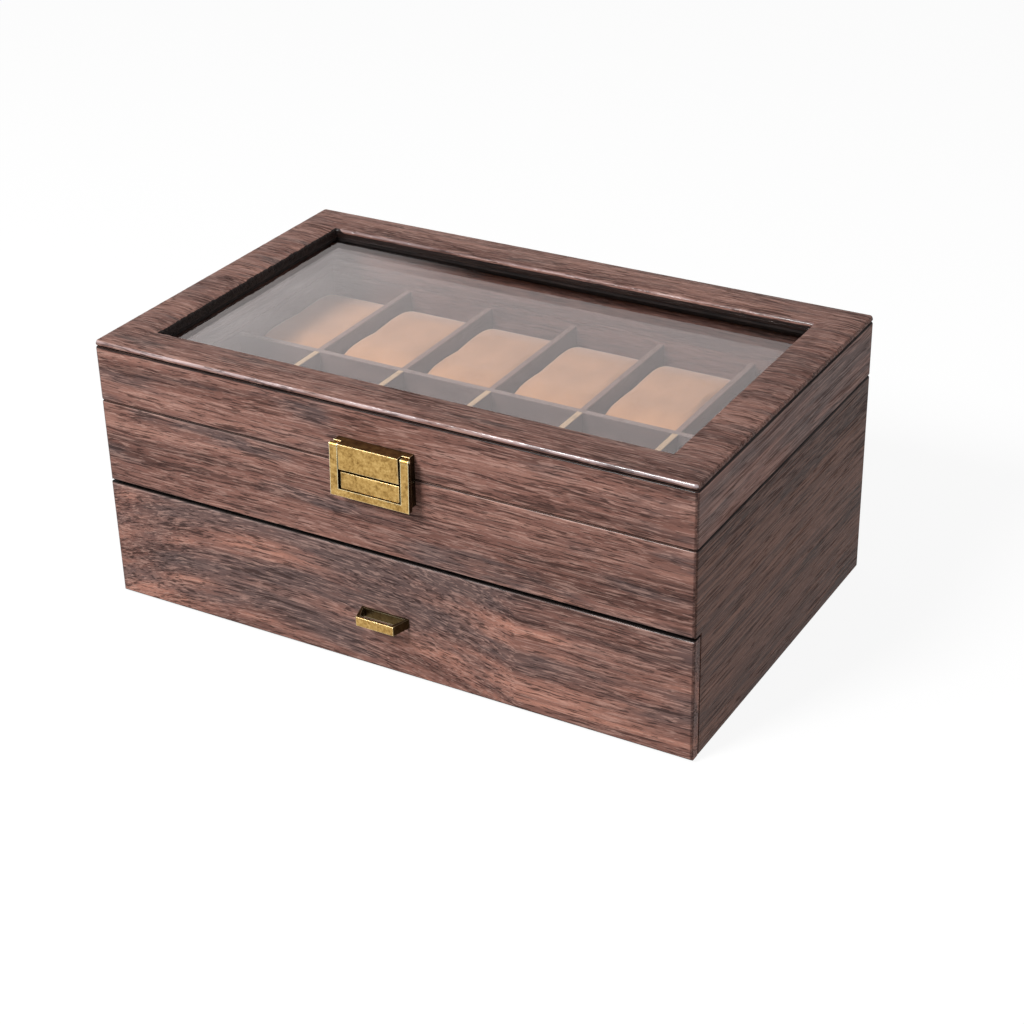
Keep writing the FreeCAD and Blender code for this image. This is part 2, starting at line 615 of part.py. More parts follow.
def drawer_pull():
    """A cast pull: a back plate, two splayed legs and a flat bar, open above and below."""
    low = PULL_CENTRE_HEIGHT - PULL_HEIGHT / 2
    rise = Vector(0, 0, PULL_HEIGHT)
    outer = prism(pull_outline(0, 0, PULL_REACH, low), rise)
    outer = softened(outer, "Y", FRONT_Y - PULL_REACH)
    inner = prism(pull_outline(PULL_STRIP, PULL_PLATE, PULL_REACH - PULL_STRIP, low), rise)
    body = outer.cut(inner)
    return {"drawer_pull": drilled(body, pull_screw_heads(), TO_FRONT, PULL_SCREW_LENGTH)}


def main():
    """Build every piece and write one STEP file for each."""
    pieces = {}
    for group in (case_walls, case_boards, tray_dividers, watch_pillows, lid_walls, glazing,
                  latch, hinges, drawer_box, drawer_pull):
        pieces.update(group())
    pieces["top_frame"] = top_frame()
    os.makedirs("parts", exist_ok=True)
    for name, shape in sorted(pieces.items()):
        shape.exportStep("parts/%s.step" % name)
        print("%-24s solids %d valid %s volume %.0f" % (name, len(shape.Solids), shape.isValid(),
                                                     shape.Volume))


main()
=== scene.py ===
"""Looks of a watch box with drawer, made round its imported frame.

Metres, +Z up, the front face towards -Y, the origin at the centre of the base.
"""

import logging
import math
from dataclasses import dataclass, field
from enum import Enum
from typing import Any, Iterable, Sequence

import bmesh
import bpy
import numpy as np
from mathutils import Matrix, Vector


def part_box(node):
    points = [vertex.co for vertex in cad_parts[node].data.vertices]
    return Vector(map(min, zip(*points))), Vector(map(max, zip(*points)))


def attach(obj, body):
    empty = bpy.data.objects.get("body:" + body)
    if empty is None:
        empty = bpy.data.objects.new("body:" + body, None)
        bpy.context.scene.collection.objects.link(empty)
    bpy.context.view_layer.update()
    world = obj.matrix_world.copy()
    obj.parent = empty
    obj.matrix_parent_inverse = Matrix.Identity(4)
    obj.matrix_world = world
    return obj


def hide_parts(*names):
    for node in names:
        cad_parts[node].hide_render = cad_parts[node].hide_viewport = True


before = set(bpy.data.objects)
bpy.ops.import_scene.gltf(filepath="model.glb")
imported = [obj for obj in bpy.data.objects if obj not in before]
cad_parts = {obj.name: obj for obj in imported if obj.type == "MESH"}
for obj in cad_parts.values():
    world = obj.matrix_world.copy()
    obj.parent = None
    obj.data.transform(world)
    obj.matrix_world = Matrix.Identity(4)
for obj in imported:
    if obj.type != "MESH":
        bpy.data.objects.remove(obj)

RGBA = tuple[float, float, float, float]

MM = 0.001
WHITE: RGBA = (1.0, 1.0, 1.0, 1.0)

# Crown and half width of the arch in the print, along X
ARCH_X = -0.055
ARCH_HALF = 0.13

# Inside of the case and the lid, where the sheet is darker
INNER_HALF_X = 0.1601
INNER_HALF_Y = 0.0951
INNER_TOP = 0.1435

# Well of the window, where shade is painted black up to its top
WELL_HALF_X = 0.1470
WELL_HALF_Y = 0.0820
WELL_TOP = 0.1470

# Left lip of the well: where its painted black shade starts to reach higher, where fully, and how much
LEFT_LIP_START = -0.1400
LEFT_LIP_FULL = -0.1455
LEFT_LIP_RISE = 2.2 * MM

# Gathers on each rail of the padded frame: the least, what is added, the power with which
# it grows, and whether it grows towards the window
RAIL_GATHERS: dict[str, tuple[float, float, float, bool]] = {
    "left": (0.12, 0.9, 2.2, True),
    "right": (0.25, 0.75, 1.6, False),
    "rear": (0.08, 0.3, 6, True),
    "front": (0.08, 0.35, 6, False),
}

log = logging.getLogger("watch_box")


def tone(red: int, green: int, blue: int) -> RGBA:
    """Turn a colour as a screen shows it into scene-linear light.

    Args:
        red: Red, 0 to 255.
        green: Green, 0 to 255.
        blue: Blue, 0 to 255.

    Returns:
        The linear colour with full alpha.
    """
    def linear(value: float) -> float:
        """One channel, 0 to 255, as linear light."""
        share = value / 255
        return share / 12.92 if share <= 0.04045 else ((share + 0.055) / 1.055) ** 2.4

    return linear(red), linear(green), linear(blue), 1.0


# Near black of the painted shade under things, in grooves and gaps and in the window's well
PAINTED_SHADOW = tone(7, 4, 4)
INNER_SHEET = tone(50, 38, 35)


class Signal:
    """A number on a node's socket, so that shader maths reads as Python."""

    def __init__(self, graph: "Graph", socket: bpy.types.NodeSocket) -> None:
        """Keep the socket and the graph that it belongs to."""
        self.graph = graph
        self.socket = socket

    def __add__(self, other: Any) -> "Signal":
        """Add."""
        return self.graph.math("ADD", self, other)

    def __radd__(self, other: Any) -> "Signal":
        """Add, reflected."""
        return self.graph.math("ADD", other, self)

    def __sub__(self, other: Any) -> "Signal":
        """Subtract."""
        return self.graph.math("SUBTRACT", self, other)

    def __rsub__(self, other: Any) -> "Signal":
        """Subtract, reflected."""
        return self.graph.math("SUBTRACT", other, self)

    def __mul__(self, other: Any) -> "Signal":
        """Multiply."""
        return self.graph.math("MULTIPLY", self, other)

    def __rmul__(self, other: Any) -> "Signal":
        """Multiply, reflected."""
        return self.graph.math("MULTIPLY", other, self)

    def __truediv__(self, other: Any) -> "Signal":
        """Divide."""
        return self.graph.math("DIVIDE", self, other)

    def __abs__(self) -> "Signal":
        """Size without the sign."""
        return self.graph.math("ABSOLUTE", self)

    def step(self, low: float, high: float) -> "Signal":
        """Rise smoothly from 0 at `low` to 1 at `high`."""
        made = self.graph.node("ShaderNodeMapRange", {"interpolation_type": "SMOOTHSTEP"},
                               {0: self, 1: low, 2: high, 3: 0.0, 4: 1.0})
        return Signal(self.graph, made.outputs[0])

    def below(self, limit: float, soft: float) -> "Signal":
        """1 up to `limit`, falling to 0 over the width `soft` past it."""
        return 1.0 - self.step(limit, limit + soft)


class Graph:
    """The nodes of one material or one geometry group."""

    def __init__(self, tree: bpy.types.NodeTree) -> None:
        """Keep the tree that the nodes go into."""
        self.tree = tree

    def node(self, kind: str, settings: dict[str, Any] | None = None,
             sockets: dict[Any, Any] | None = None) -> bpy.types.Node:
        """Add a node.

        Args:
            kind: The node's type name.
            settings: Its own settings, set first; `stops` are a colour ramp's places and colours.
            sockets: Its input sockets by name or number, with a value or what is linked to each.

        Returns:
            The new node.
        """
        made = self.tree.nodes.new(kind)
        for name, value in (settings or {}).items():
            if name == "stops":
                self._set_stops(made, value)
            else:
                setattr(made, name, value)
        self.fill(made, sockets or {})
        return made

    def fill(self, node: bpy.types.Node, sockets: dict[Any, Any]) -> None:
        """Set or link a node's input sockets.

        Args:
            node: The node.
            sockets: Its input sockets by name or number, with a value or what is linked to each.
        """
        for name, value in sockets.items():
            if isinstance(value, Signal):
                value = value.socket
            if isinstance(value, bpy.types.NodeSocket):
                self.tree.links.new(value, node.inputs[name])
            else:
                node.inputs[name].default_value = value

    @staticmethod
    def _set_stops(ramp: bpy.types.Node, stops: Sequence[tuple[float, RGBA]]) -> None:
        """Give a colour ramp its stops."""
        elements = ramp.color_ramp.elements
        while len(elements) < len(stops):
            elements.new(1.0)
        for element, (place, colour) in zip(elements, stops):
            element.position = place
            element.color = colour

    def math(self, operation: str, *values: Any) -> Signal:
        """Work out a number from numbers.

        Args:
            operation: The Math node's operation.
            values: Signals or plain numbers.

        Returns:
            The result.
        """
        made = self.node("ShaderNodeMath", {"operation": operation}, dict(enumerate(values)))
        return Signal(self, made.outputs[0])

    def most(self, first: Signal, *others: Any) -> Signal:
        """The largest of the numbers."""
        for other in others:
            first = self.math("MAXIMUM", first, other)
        return first

    def parts(self, vector: bpy.types.NodeSocket) -> tuple[Signal, Signal, Signal]:
        """A vector's X, Y and Z."""
        split = self.node("ShaderNodeSeparateXYZ", sockets={0: vector})
        return tuple(Signal(self, output) for output in split.outputs)

    def place(self) -> tuple[Signal, Signal, Signal]:
        """The point's X, Y and Z in the object's own frame."""
        return self.parts(self.node("ShaderNodeTexCoord").outputs["Object"])

    def facing(self) -> tuple[Signal, Signal, Signal]:
        """Which way the surface faces in the object's own frame."""
        return self.parts(self.node("ShaderNodeTexCoord").outputs["Normal"])

    def point(self, *values: Any) -> bpy.types.NodeSocket:
        """Three numbers as one vector."""
        return self.node("ShaderNodeCombineXYZ", sockets=dict(enumerate(values))).outputs[0]

    def noise(self, point: Sequence[Any], detail: float = 2.0, roughness: float = 0.5) -> Signal:
        """Cloudy noise.

        Args:
            point: Where it is read, in widths of its largest lumps.
            detail: How many finer octaves are added.
            roughness: How strong the finer octaves are.

        Returns:
            A number round 0.5.
        """
        made = self.node("ShaderNodeTexNoise", {},
                         {"Vector": self.point(*point), "Scale": 1.0, "Detail": detail,
                          "Roughness": roughness})
        return Signal(self, made.outputs[0])

    def blend(self, factor: Any, first: Any, second: Any) -> bpy.types.NodeSocket:
        """Mix two colours.

        Args:
            factor: How much of the second is taken, 0 to 1.
            first: A colour or a colour socket.
            second: A colour or a colour socket.

        Returns:
            The colour socket.
        """
        made = self.node("ShaderNodeMix", {"data_type": "RGBA"}, {0: factor, 6: first, 7: second})
        return made.outputs[2]

    def ramp(self, factor: Signal, stops: Sequence[tuple[float, RGBA]]) -> bpy.types.NodeSocket:
        """Turn a number into a colour along a ramp."""
        return self.node("ShaderNodeValToRGB", {"stops": stops}, {0: factor}).outputs[0]

    def bump(self, height: Signal, depth: float) -> bpy.types.NodeSocket:
        """Turn a height into a surface normal.

        Args:
            height: The height.
            depth: What a height of 1 measures, in metres.

        Returns:
            The normal socket.
        """
        made = self.node("ShaderNodeBump", {}, {"Height": height, "Distance": depth, "Strength": 1.0})
        return made.outputs[0]


class Finish:
    """A material made once and used on every piece that has it."""

    name: str

    def shade(self, graph: Graph, surface: bpy.types.Node) -> None:
        """Link the colour, the sheen and the relief to the surface shader."""
        raise NotImplementedError

    def material(self) -> bpy.types.Material:
        """The finish as a material.

        Returns:
            The material, made on first use.
        """
        made = bpy.data.materials.get(self.name)
        if made is None:
            made = bpy.data.materials.new(self.name)
            made.use_nodes = True
            surface = made.node_tree.nodes["Principled BSDF"]
            self.shade(Graph(made.node_tree), surface)
        return made


def feed(graph: Graph, surface: bpy.types.Node, **values: Any) -> None:
    """Set or link the surface shader's sockets.

    Args:
        graph: The material's nodes.
        surface: The surface shader.
        values: Sockets by name, with underscores for spaces.
    """
    graph.fill(surface, {name.replace("_", " "): value for name, value in values.items()})


class Grain(Enum):
    """Which way the wood print runs."""

    ALONG_X = "x"
    ALONG_Y = "y"


@dataclass(frozen=True)
class Leatherette(Finish):
    """Embossed sheet printed like open-pored wood.

    Attributes:
        name: The material's name.
        grain: Which way the print runs.
        shift: How far the print is moved, so that no two sheets show the same piece of it.
        deep: Colour of the embossed strokes, and of the painted shade in the upright folds and on the
            edges that face up.
        dark: Colour of the dark streaks.
        middle: Colour of most of the sheet.
        light: Colour of the pale streaks.
        pale: Colour of the long pale threads, and of the flecks beside the strokes, which are painted
            glints.
        glint: Colour of the painted highlight on the folded front edges.
        smoke: Colour of the greyish patches.
        smokiness: How much of the sheet is greyish, 0 to 1.
        lean: How much greyer the sheet gets for each metre up.
        figure_size: How large the greyish patches are against those of the front.
        combing: How strong the long pale and dark threads are, 0 to 1.
        arch: How high the print bulges left of the middle, in metres.
        stretch: How much longer than on the front the figure runs.
        twist: How far the strokes wander, in metres.
        stroke_share: How dark the strokes are, 0 to 1.
        crest_highlight: Strength of the painted highlight on the front edges that face up, 0 to 1.
        crest_shade: How much painted shade darkens all edges that face up, 0 to 1.
        shine: Strength of the gloss on the front edges that face up.
        ledge: How much painted shade darkens the surfaces that face straight up, 0 to 1.
        rim: How much painted shade darkens the upper half of each folded top edge, 0 to 1.
        foot: Height under which the sheet lies in a groove, with its shade painted black.
    """

    name: str
    grain: Grain = Grain.ALONG_X
    shift: tuple[float, float, float] = (0.0, 0.0, 0.0)
    deep: RGBA = tone(34, 19, 16)
    dark: RGBA = tone(78, 53, 47)
    middle: RGBA = tone(113, 79, 70)
    light: RGBA = tone(144, 106, 94)
    pale: RGBA = tone(184, 150, 138)
    glint: RGBA = tone(206, 178, 168)
    smoke: RGBA = tone(78, 66, 65)
    smokiness: float = 0.45
    lean: float = 0.0
    figure_size: float = 1.0
    combing: float = 0.12
    arch: float = 0.0
    stretch: float = 1.0
    twist: float = 1.5 * MM
    stroke_share: float = 0.66
    crest_highlight: float = 0.2
    crest_shade: float = 0.0
    shine: float = 0.05
    ledge: float = 0.0
    rim: float = 0.85
    foot: float = -1.0

    def shade(self, graph: Graph, surface: bpy.types.Node) -> None:
        """Print the streaks, the smoky figure and the strokes, paint glints as pale raised flecks, and
        emboss the strokes.
        """
        x, y, z = graph.place()
        along, across = (x, y) if self.grain is Grain.ALONG_X else (y, x)
        along = (along + self.shift[0]) / self.stretch
        sway = graph.noise((along / 0.15, across / 0.05, z / 0.05 + self.shift[2])) - 0.5
        wander = graph.noise((along / 0.016 + 7.0, across / 0.005, z / 0.005)) - 0.5
        from_arch = (x - ARCH_X) / ARCH_HALF
        arch = graph.most(1.0 - from_arch * from_arch, 0.0) * self.arch
        lift = sway * (7 * MM) + wander * self.twist - arch
        across = across + lift + self.shift[1]
        up = z + lift + self.shift[2]

        def cloud(length: float, width: float, seed: float, detail: float = 2.0,
                  roughness: float = 0.5) -> Signal:
            """Noise that is `length` long with the grain and `width` wide across it."""
            return graph.noise((along / length + seed, across / width, up / width), detail, roughness)

        clusters = cloud(0.045, 0.0080, 3.0)
        veins = cloud(0.026, 0.0011, 0.0, 1.0)
        fibres = cloud(0.0095, 0.00080, 31.0, 1.0)
        threads = cloud(0.070, 0.0012, 41.0, 1.5)
        grit = cloud(0.0020, 0.0006, 17.0, 1.0)
        streaks = cloud(0.20, 0.0044, 23.0, 3.0, 0.6)
        bands = cloud(0.30, 0.0140, 5.0)
        size = self.figure_size
        figure = cloud(0.055 * size, 0.0100 * size, 11.0, 3.0, 0.5)
        hairlines = (veins + (clusters - 0.5) * 0.25).step(0.60, 0.70)
        pores = (fibres + (clusters - 0.5) * 0.3).step(0.60, 0.70)
        strokes = graph.most(hairlines, pores)
        # The pale flecks are painted glints on raised ridges of the emboss
        flecks = graph.most(fibres.step(0.42, 0.33), veins.step(0.41, 0.33))
        combed = threads.step(0.57, 0.66) * self.combing
        colour = graph.ramp(bands * 0.48 + streaks * 0.52,
                            [(0.36, self.dark), (0.50, self.middle), (0.64, self.light)])
        smoky = figure + (fibres - 0.5) * 0.14 + (veins - 0.5) * 0.10 + z * self.lean
        smoky = smoky.step(0.62 - 0.3 * self.smokiness, 0.80 - 0.2 * self.smokiness)
        colour = graph.blend(smoky * 0.8, colour, self.smoke)
        colour = graph.blend(threads.step(0.45, 0.34) * (self.combing * 0.7), colour, self.deep)
        colour = graph.blend(graph.most(flecks * 0.3, combed), colour, self.pale)
        colour = graph.blend(grit.step(0.46, 0.70) * 0.22, colour, self.dark)
        colour = graph.blend(strokes * self.stroke_share, colour, self.deep)
        height = 0.6 - strokes * 0.6 + graph.most(flecks * 0.35, combed * 0.5)
        self.paint_light_and_shade(graph, surface, colour, strokes)
        feed(graph, surface, Roughness=0.46 + strokes * 0.2 + streaks * 0.1, Specular_IOR_Level=0.1,
             Coat_Roughness=0.18, Coat_IOR=1.9, Normal=graph.bump(height, 0.34 * MM))

    def paint_light_and_shade(self, graph: Graph, surface: bpy.types.Node, colour: bpy.types.NodeSocket,
             strokes: Signal) -> None:
        """Paint a highlight and a coat of gloss on the front's folded edges, paint shade on upright folds,
        upward edges, what faces down, grooves, the drawer's ledge and the window's well, and darken the
        inside.

        Args:
            graph: The material's nodes.
            surface: The surface shader.
            colour: The printed colour.
            strokes: Where the strokes are, 0 to 1.
        """
        x, y, z = graph.place()
        across, out, up = graph.facing()
        crest = up.step(0.12, 0.4) * (1.0 - up.step(0.84, 0.97))
        patchy = graph.noise((x / 0.045, y / 0.045, z / 0.045)).step(0.36, 0.58)
        front = (out * -1.0).step(0.2, 0.6) * (patchy * 0.65 + 0.35) * (1.0 - y.step(0.0, 0.05) * 0.6)
        fold = abs(across * out).step(0.1, 0.4)
        under = (up * -1.0).step(0.2, 0.6)
        groove = z.below(self.foot, 0.2 * MM)
        ledge = up.step(0.7, 0.9) * self.ledge
        well = abs(x).below(WELL_HALF_X, 0.2 * MM) * abs(y).below(WELL_HALF_Y, 0.2 * MM)
        lip = x.step(LEFT_LIP_START, LEFT_LIP_FULL) * LEFT_LIP_RISE
        well = well * (z - lip).below(WELL_TOP, 0.3 * MM)
        well = well * z.step(INNER_TOP, INNER_TOP + 0.4 * MM)
        rim = up.step(0.5, 0.75) * (1.0 - up.step(0.97, 0.995)) * self.rim
        # Painted shade, near black: under what faces down, in the groove under the foot, on the upward
        # ledge, in the window's well and on the upper half of each top edge
        painted_shade = graph.most(under * 0.95, groove * 0.95, ledge, well * 0.95, rim)
        inside = abs(x).below(INNER_HALF_X, 0.4 * MM) * abs(y).below(INNER_HALF_Y, 0.4 * MM)
        inside = inside * z.below(INNER_TOP, 0.4 * MM)
        # Painted shade: the upright folds and the upward edges darkened towards the strokes' colour
        shaded = graph.most(fold * 0.45, crest * self.crest_shade)
        colour = graph.blend(shaded, colour, self.deep)
        # Painted highlight on the front's upward edges, in the glint colour
        colour = graph.blend(crest * front * self.crest_highlight * (1.0 - strokes * 0.6), colour, self.glint)
        colour = graph.blend(painted_shade, colour, PAINTED_SHADOW)
        colour = graph.blend(inside * 0.5, colour, INNER_SHEET)
        feed(graph, surface, Base_Color=colour, Coat_Weight=crest * front * self.shine + 0.015)


@dataclass(frozen=True)
class AntiqueBrass(Finish):
    """Brass with patina and painted shade in its hollows, painted shade on its sides, tops and bottoms,
    and edges scuffed bright with a painted highlight.

    Attributes:
        name: The material's name.
        deep: Colour of the darkened metal.
        plain: Colour of most of the metal.
        bright: Colour where the metal is polished.
        rubbed_and_glint: Colour of the edges, scuffed bright and with a painted highlight.
        shade_and_patina: Colour of the painted shade on the sides, tops and bottoms, and of the patina and
            painted shade in the hollows.
        edge: How wide the rubbed edges are, in metres.
        hollow: How far forward, as a Y, the hollow with patina and painted shade reaches.
        top_shade: How much painted shade darkens the surfaces that face up or down, 0 to 1.
    """

    name: str
    deep: RGBA = tone(134, 102, 52)
    plain: RGBA = tone(178, 142, 82)
    bright: RGBA = tone(208, 174, 110)
    rubbed_and_glint: RGBA = tone(255, 247, 208)
    shade_and_patina: RGBA = tone(30, 22, 12)
    edge: float = 0.6 * MM
    hollow: float = -0.106
    top_shade: float = 0.62

    def shade(self, graph: Graph, surface: bpy.types.Node) -> None:
        """Mottle the metal, darken what doesn't face the front with painted shade and patina, and brighten
        its edges with scuffing and a painted highlight.
        """
        x, y, z = graph.place()
        blotches = graph.noise((x / 0.0034, y / 0.0034, z / 0.0034), detail=5.0, roughness=0.7)
        specks = graph.noise((x / 0.0013, y / 0.0013, z / 0.0013), detail=3.0, roughness=0.6)
        colour = graph.ramp(blotches * 0.62 + specks * 0.38,
                            [(0.38, self.deep), (0.49, self.plain), (0.64, self.bright)])
        # Painted shade on the sides and on what faces up or down; patina and painted shade in the hollow
        # behind the front
        across, out, up = graph.facing()
        side = abs(across).step(0.5, 0.9)
        top = abs(up).step(0.6, 0.95)
        sunk = y.step(self.hollow - 0.4 * MM, self.hollow + 0.4 * MM)
        dim = graph.most(side * 0.92, top * self.top_shade, sunk * 0.86)
        colour = graph.blend(dim, colour, self.shade_and_patina)
        # Edges found by a bevelled normal, scuffed bright and given a painted highlight
        rounded = graph.node("ShaderNodeBevel", {"samples": 6}, {"Radius": self.edge})
        sharp = graph.node("ShaderNodeNewGeometry")
        turn = graph.node("ShaderNodeVectorMath", {"operation": "DOT_PRODUCT"},
                          {0: rounded.outputs[0], 1: sharp.outputs["Normal"]})
        flat = Signal(graph, turn.outputs["Value"])
        rubbed_glint_mask = (1.0 - flat).step(0.008, 0.06) * (1.0 - side * 0.75) * (1.0 - sunk * 0.7)
        colour = graph.blend(rubbed_glint_mask * 0.92, colour, self.rubbed_and_glint)
        feed(graph, surface, Base_Color=colour, Metallic=1.0,
             Roughness=0.24 + blotches * 0.28, Normal=graph.bump(specks, 0.07 * MM))


@dataclass(frozen=True)
class PlainMetal(Finish):
    """Plated metal with a fine brushed haze."""

    name: str
    colour: RGBA = tone(206, 176, 110)
    roughness: float = 0.26

    def shade(self, graph: Graph, surface: bpy.types.Node) -> None:
        """Brush the metal along X."""
        x, y, z = graph.place()
        brushed = graph.noise((x / 0.02, y / 0.0006, z / 0.0006), detail=3.0)
        stains = graph.noise((x / 0.008, y / 0.008, z / 0.008), detail=3.0)
        darker = tuple(0.62 * share for share in self.colour[:3]) + (1.0,)
        feed(graph, surface, Base_Color=graph.blend(stains.step(0.45, 0.75), self.colour, darker),
             Metallic=1.0, Roughness=self.roughness + brushed * 0.2,
             Normal=graph.bump(brushed, 0.01 * MM))


@dataclass(frozen=True)
class Suede(Finish):
    """Short-napped cloth with a fine rib.

    Attributes:
        name: The material's name.
        shade_low: Colour where the nap lies away from the light.
        shade_high: Colour where the nap catches it.
        rib: Distance between two ribs, in metres.
    """

    name: str
    shade_low: RGBA = tone(165, 119, 78)
    shade_high: RGBA = tone(195, 146, 103)
    rib: float = 0.9 * MM

    def shade(self, graph: Graph, surface: bpy.types.Node) -> None:
        """Lay the nap in soft strokes over the ribs."""
        x, y, z = graph.place()
        strokes = graph.noise((x / 0.014, y / 0.022, z / 0.014), detail=3.0)
        nap = graph.noise((x / 0.0009, y / 0.0016, z / 0.0009))
        ribs = graph.math("SINE", (x + strokes * (0.8 * MM)) * (math.tau / self.rib)) * 0.5 + 0.5
        colour = graph.ramp(strokes * 0.6 + nap * 0.25 + ribs * 0.15,
                            [(0.32, self.shade_low), (0.68, self.shade_high)])
        feed(graph, surface, Base_Color=colour, Roughness=0.92, Sheen_Weight=0.35,
             Sheen_Roughness=0.5, Normal=graph.bump(nap * 0.5 + ribs * 0.5, 0.12 * MM))


@dataclass(frozen=True)
class Flock(Finish):
    """Velvety lining or felt."""

    name: str
    colour: RGBA
    fleck: RGBA
    fibre: float = 0.7 * MM

    def shade(self, graph: Graph, surface: bpy.types.Node) -> None:
        """Scatter paler fibres over the ground colour."""
        x, y, z = graph.place()
        fibres = graph.noise((x / self.fibre, y / self.fibre, z / self.fibre), detail=3.0, roughness=0.7)
        brushed = graph.noise((x / 0.03, y / 0.018, z / 0.02))
        colour = graph.blend((fibres * 0.7 + brushed * 0.3).step(0.38, 0.72), self.colour, self.fleck)
        feed(graph, surface, Base_Color=colour, Roughness=0.95, Sheen_Weight=0.25,
             Normal=graph.bump(fibres, 0.15 * MM))


@dataclass(frozen=True)
class PaintedBoard(Finish):
    """Fibre board under thin dark paint."""

    name: str
    colour: RGBA
    patch: RGBA
    roughness: float = 0.75

    def shade(self, graph: Graph, surface: bpy.types.Node) -> None:
        """Let the board's fibres show faintly."""
        x, y, z = graph.place()
        fibres = graph.noise((x / 0.012, y / 0.002, z / 0.002), detail=4.0)
        colour = graph.blend(fibres.step(0.35, 0.7), self.colour, self.patch)
        feed(graph, surface, Base_Color=colour, Roughness=self.roughness - fibres * 0.15,
             Specular_IOR_Level=0.12, Normal=graph.bump(fibres, 0.08 * MM))


@dataclass(frozen=True)
class DividerBoard(Finish):
    """A plain wrapped divider whose top edge has its own colour.

    Attributes:
        name: The material's name.
        face: Colour of its sides.
        cloud: Colour of the clouds on its sides.
        top: Height above which the edge shows.
        front_end: Where the front row ends, as a Y.
        front_edge: Colour of the edge in the front row.
        rear_edge: Colour of the edge in the rear row.
    """

    name: str
    face: RGBA = tone(66, 54, 52)
    cloud: RGBA = tone(88, 73, 69)
    top: float = 0.1126
    front_end: float = 0.0015
    front_edge: RGBA = tone(190, 164, 130)
    rear_edge: RGBA = tone(124, 104, 97)

    def shade(self, graph: Graph, surface: bpy.types.Node) -> None:
        """Cloud the sides softly, then lay the edge's colour over their top."""
        x, y, z = graph.place()
        soft = graph.noise((x / 0.03, y / 0.03, z / 0.008), detail=4.0)
        scuffs = graph.noise((x / 0.004, y / 0.006, z / 0.004), detail=3.0)
        in_front = 1.0 - y.step(self.front_end - 0.4 * MM, self.front_end)
        edge = graph.blend(in_front, self.rear_edge, self.front_edge)
        edge = graph.blend(scuffs.step(0.5, 0.75) * 0.4, edge, self.face)
        sides = graph.blend(soft.step(0.35, 0.7), self.face, self.cloud)
        colour = graph.blend(z.step(self.top - 0.1 * MM, self.top), sides, edge)
        feed(graph, surface, Base_Color=colour, Roughness=0.5 + soft * 0.2,
             Specular_IOR_Level=0.2, Normal=graph.bump(scuffs, 0.05 * MM))


@dataclass(frozen=True)
class PaneGlass(Finish):
    """Clear glass that lets light through, mirrors the studio and is a little hazy at one end.

    Attributes:
        name: The material's name.
        straight: Share of the light that one face mirrors straight back.
        roughness: How soft the mirrored studio is.
        tint: What one face lets through.
        film: Share of the light that the haze throws back where it is thickest.
        dulling: Share of the mirror image that the haze hides where it is thickest.
        lift_x: How steeply the film that makes the haze rises to the left.
        lift_y: How steeply it rises to the back.
        film_start: X at which the haze is thickest.
        film_end: X at which it ends.
    """

    name: str
    straight: float = 0.07
    roughness: float = 0.05
    tint: RGBA = (0.98, 0.965, 0.965, 1.0)
    film: float = 0.165
    lift_x: float = 0.16
    lift_y: float = 0.30
    dulling: float = 0.75
    film_start: float = -0.150
    film_end: float = -0.035

    def shade(self, graph: Graph, surface: bpy.types.Node) -> None:
        """Mix a clear shader with a mirror that grows towards grazing angles, and add the haze."""
        tree = graph.tree
        tree.nodes.remove(surface)
        clear = graph.node("ShaderNodeBsdfTransparent", {}, {"Color": self.tint})
        mirror = graph.node("ShaderNodeBsdfGlossy", {},
                            {"Color": (1.0, 0.93, 0.92, 1.0), "Roughness": self.roughness})
        angle = graph.node("ShaderNodeLayerWeight", {}, {"Blend": 0.5})
        slant = graph.math("POWER", Signal(graph, angle.outputs["Facing"]), 5.0)
        x, y, z = graph.place()
        slope = graph.bump(y * self.lift_y - x * self.lift_x, 1.0)
        haze = graph.node("ShaderNodeBsdfGlossy", {},
                          {"Color": (1.0, 0.94, 0.93, 1.0), "Roughness": self.roughness, "Normal": slope})
        veil = graph.noise((x / 0.09, y / 0.06, z / 0.06), detail=1.0) * 0.5 + 0.75
        upper = graph.facing()[2].step(0.4, 0.6)
        thick = 1.0 - x.step(self.film_start, self.film_end)
        film = thick * upper * veil * self.film
        share = (slant * (1.0 - self.straight) + self.straight) * (1.0 - thick * self.dulling)
        pane = graph.node("ShaderNodeMixShader", {},
                          {0: share, 1: clear.outputs[0], 2: mirror.outputs[0]})
        mixed = graph.node("ShaderNodeMixShader", {}, {0: film, 1: pane.outputs[0], 2: haze.outputs[0]})
        tree.links.new(mixed.outputs[0], tree.nodes["Material Output"].inputs["Surface"])


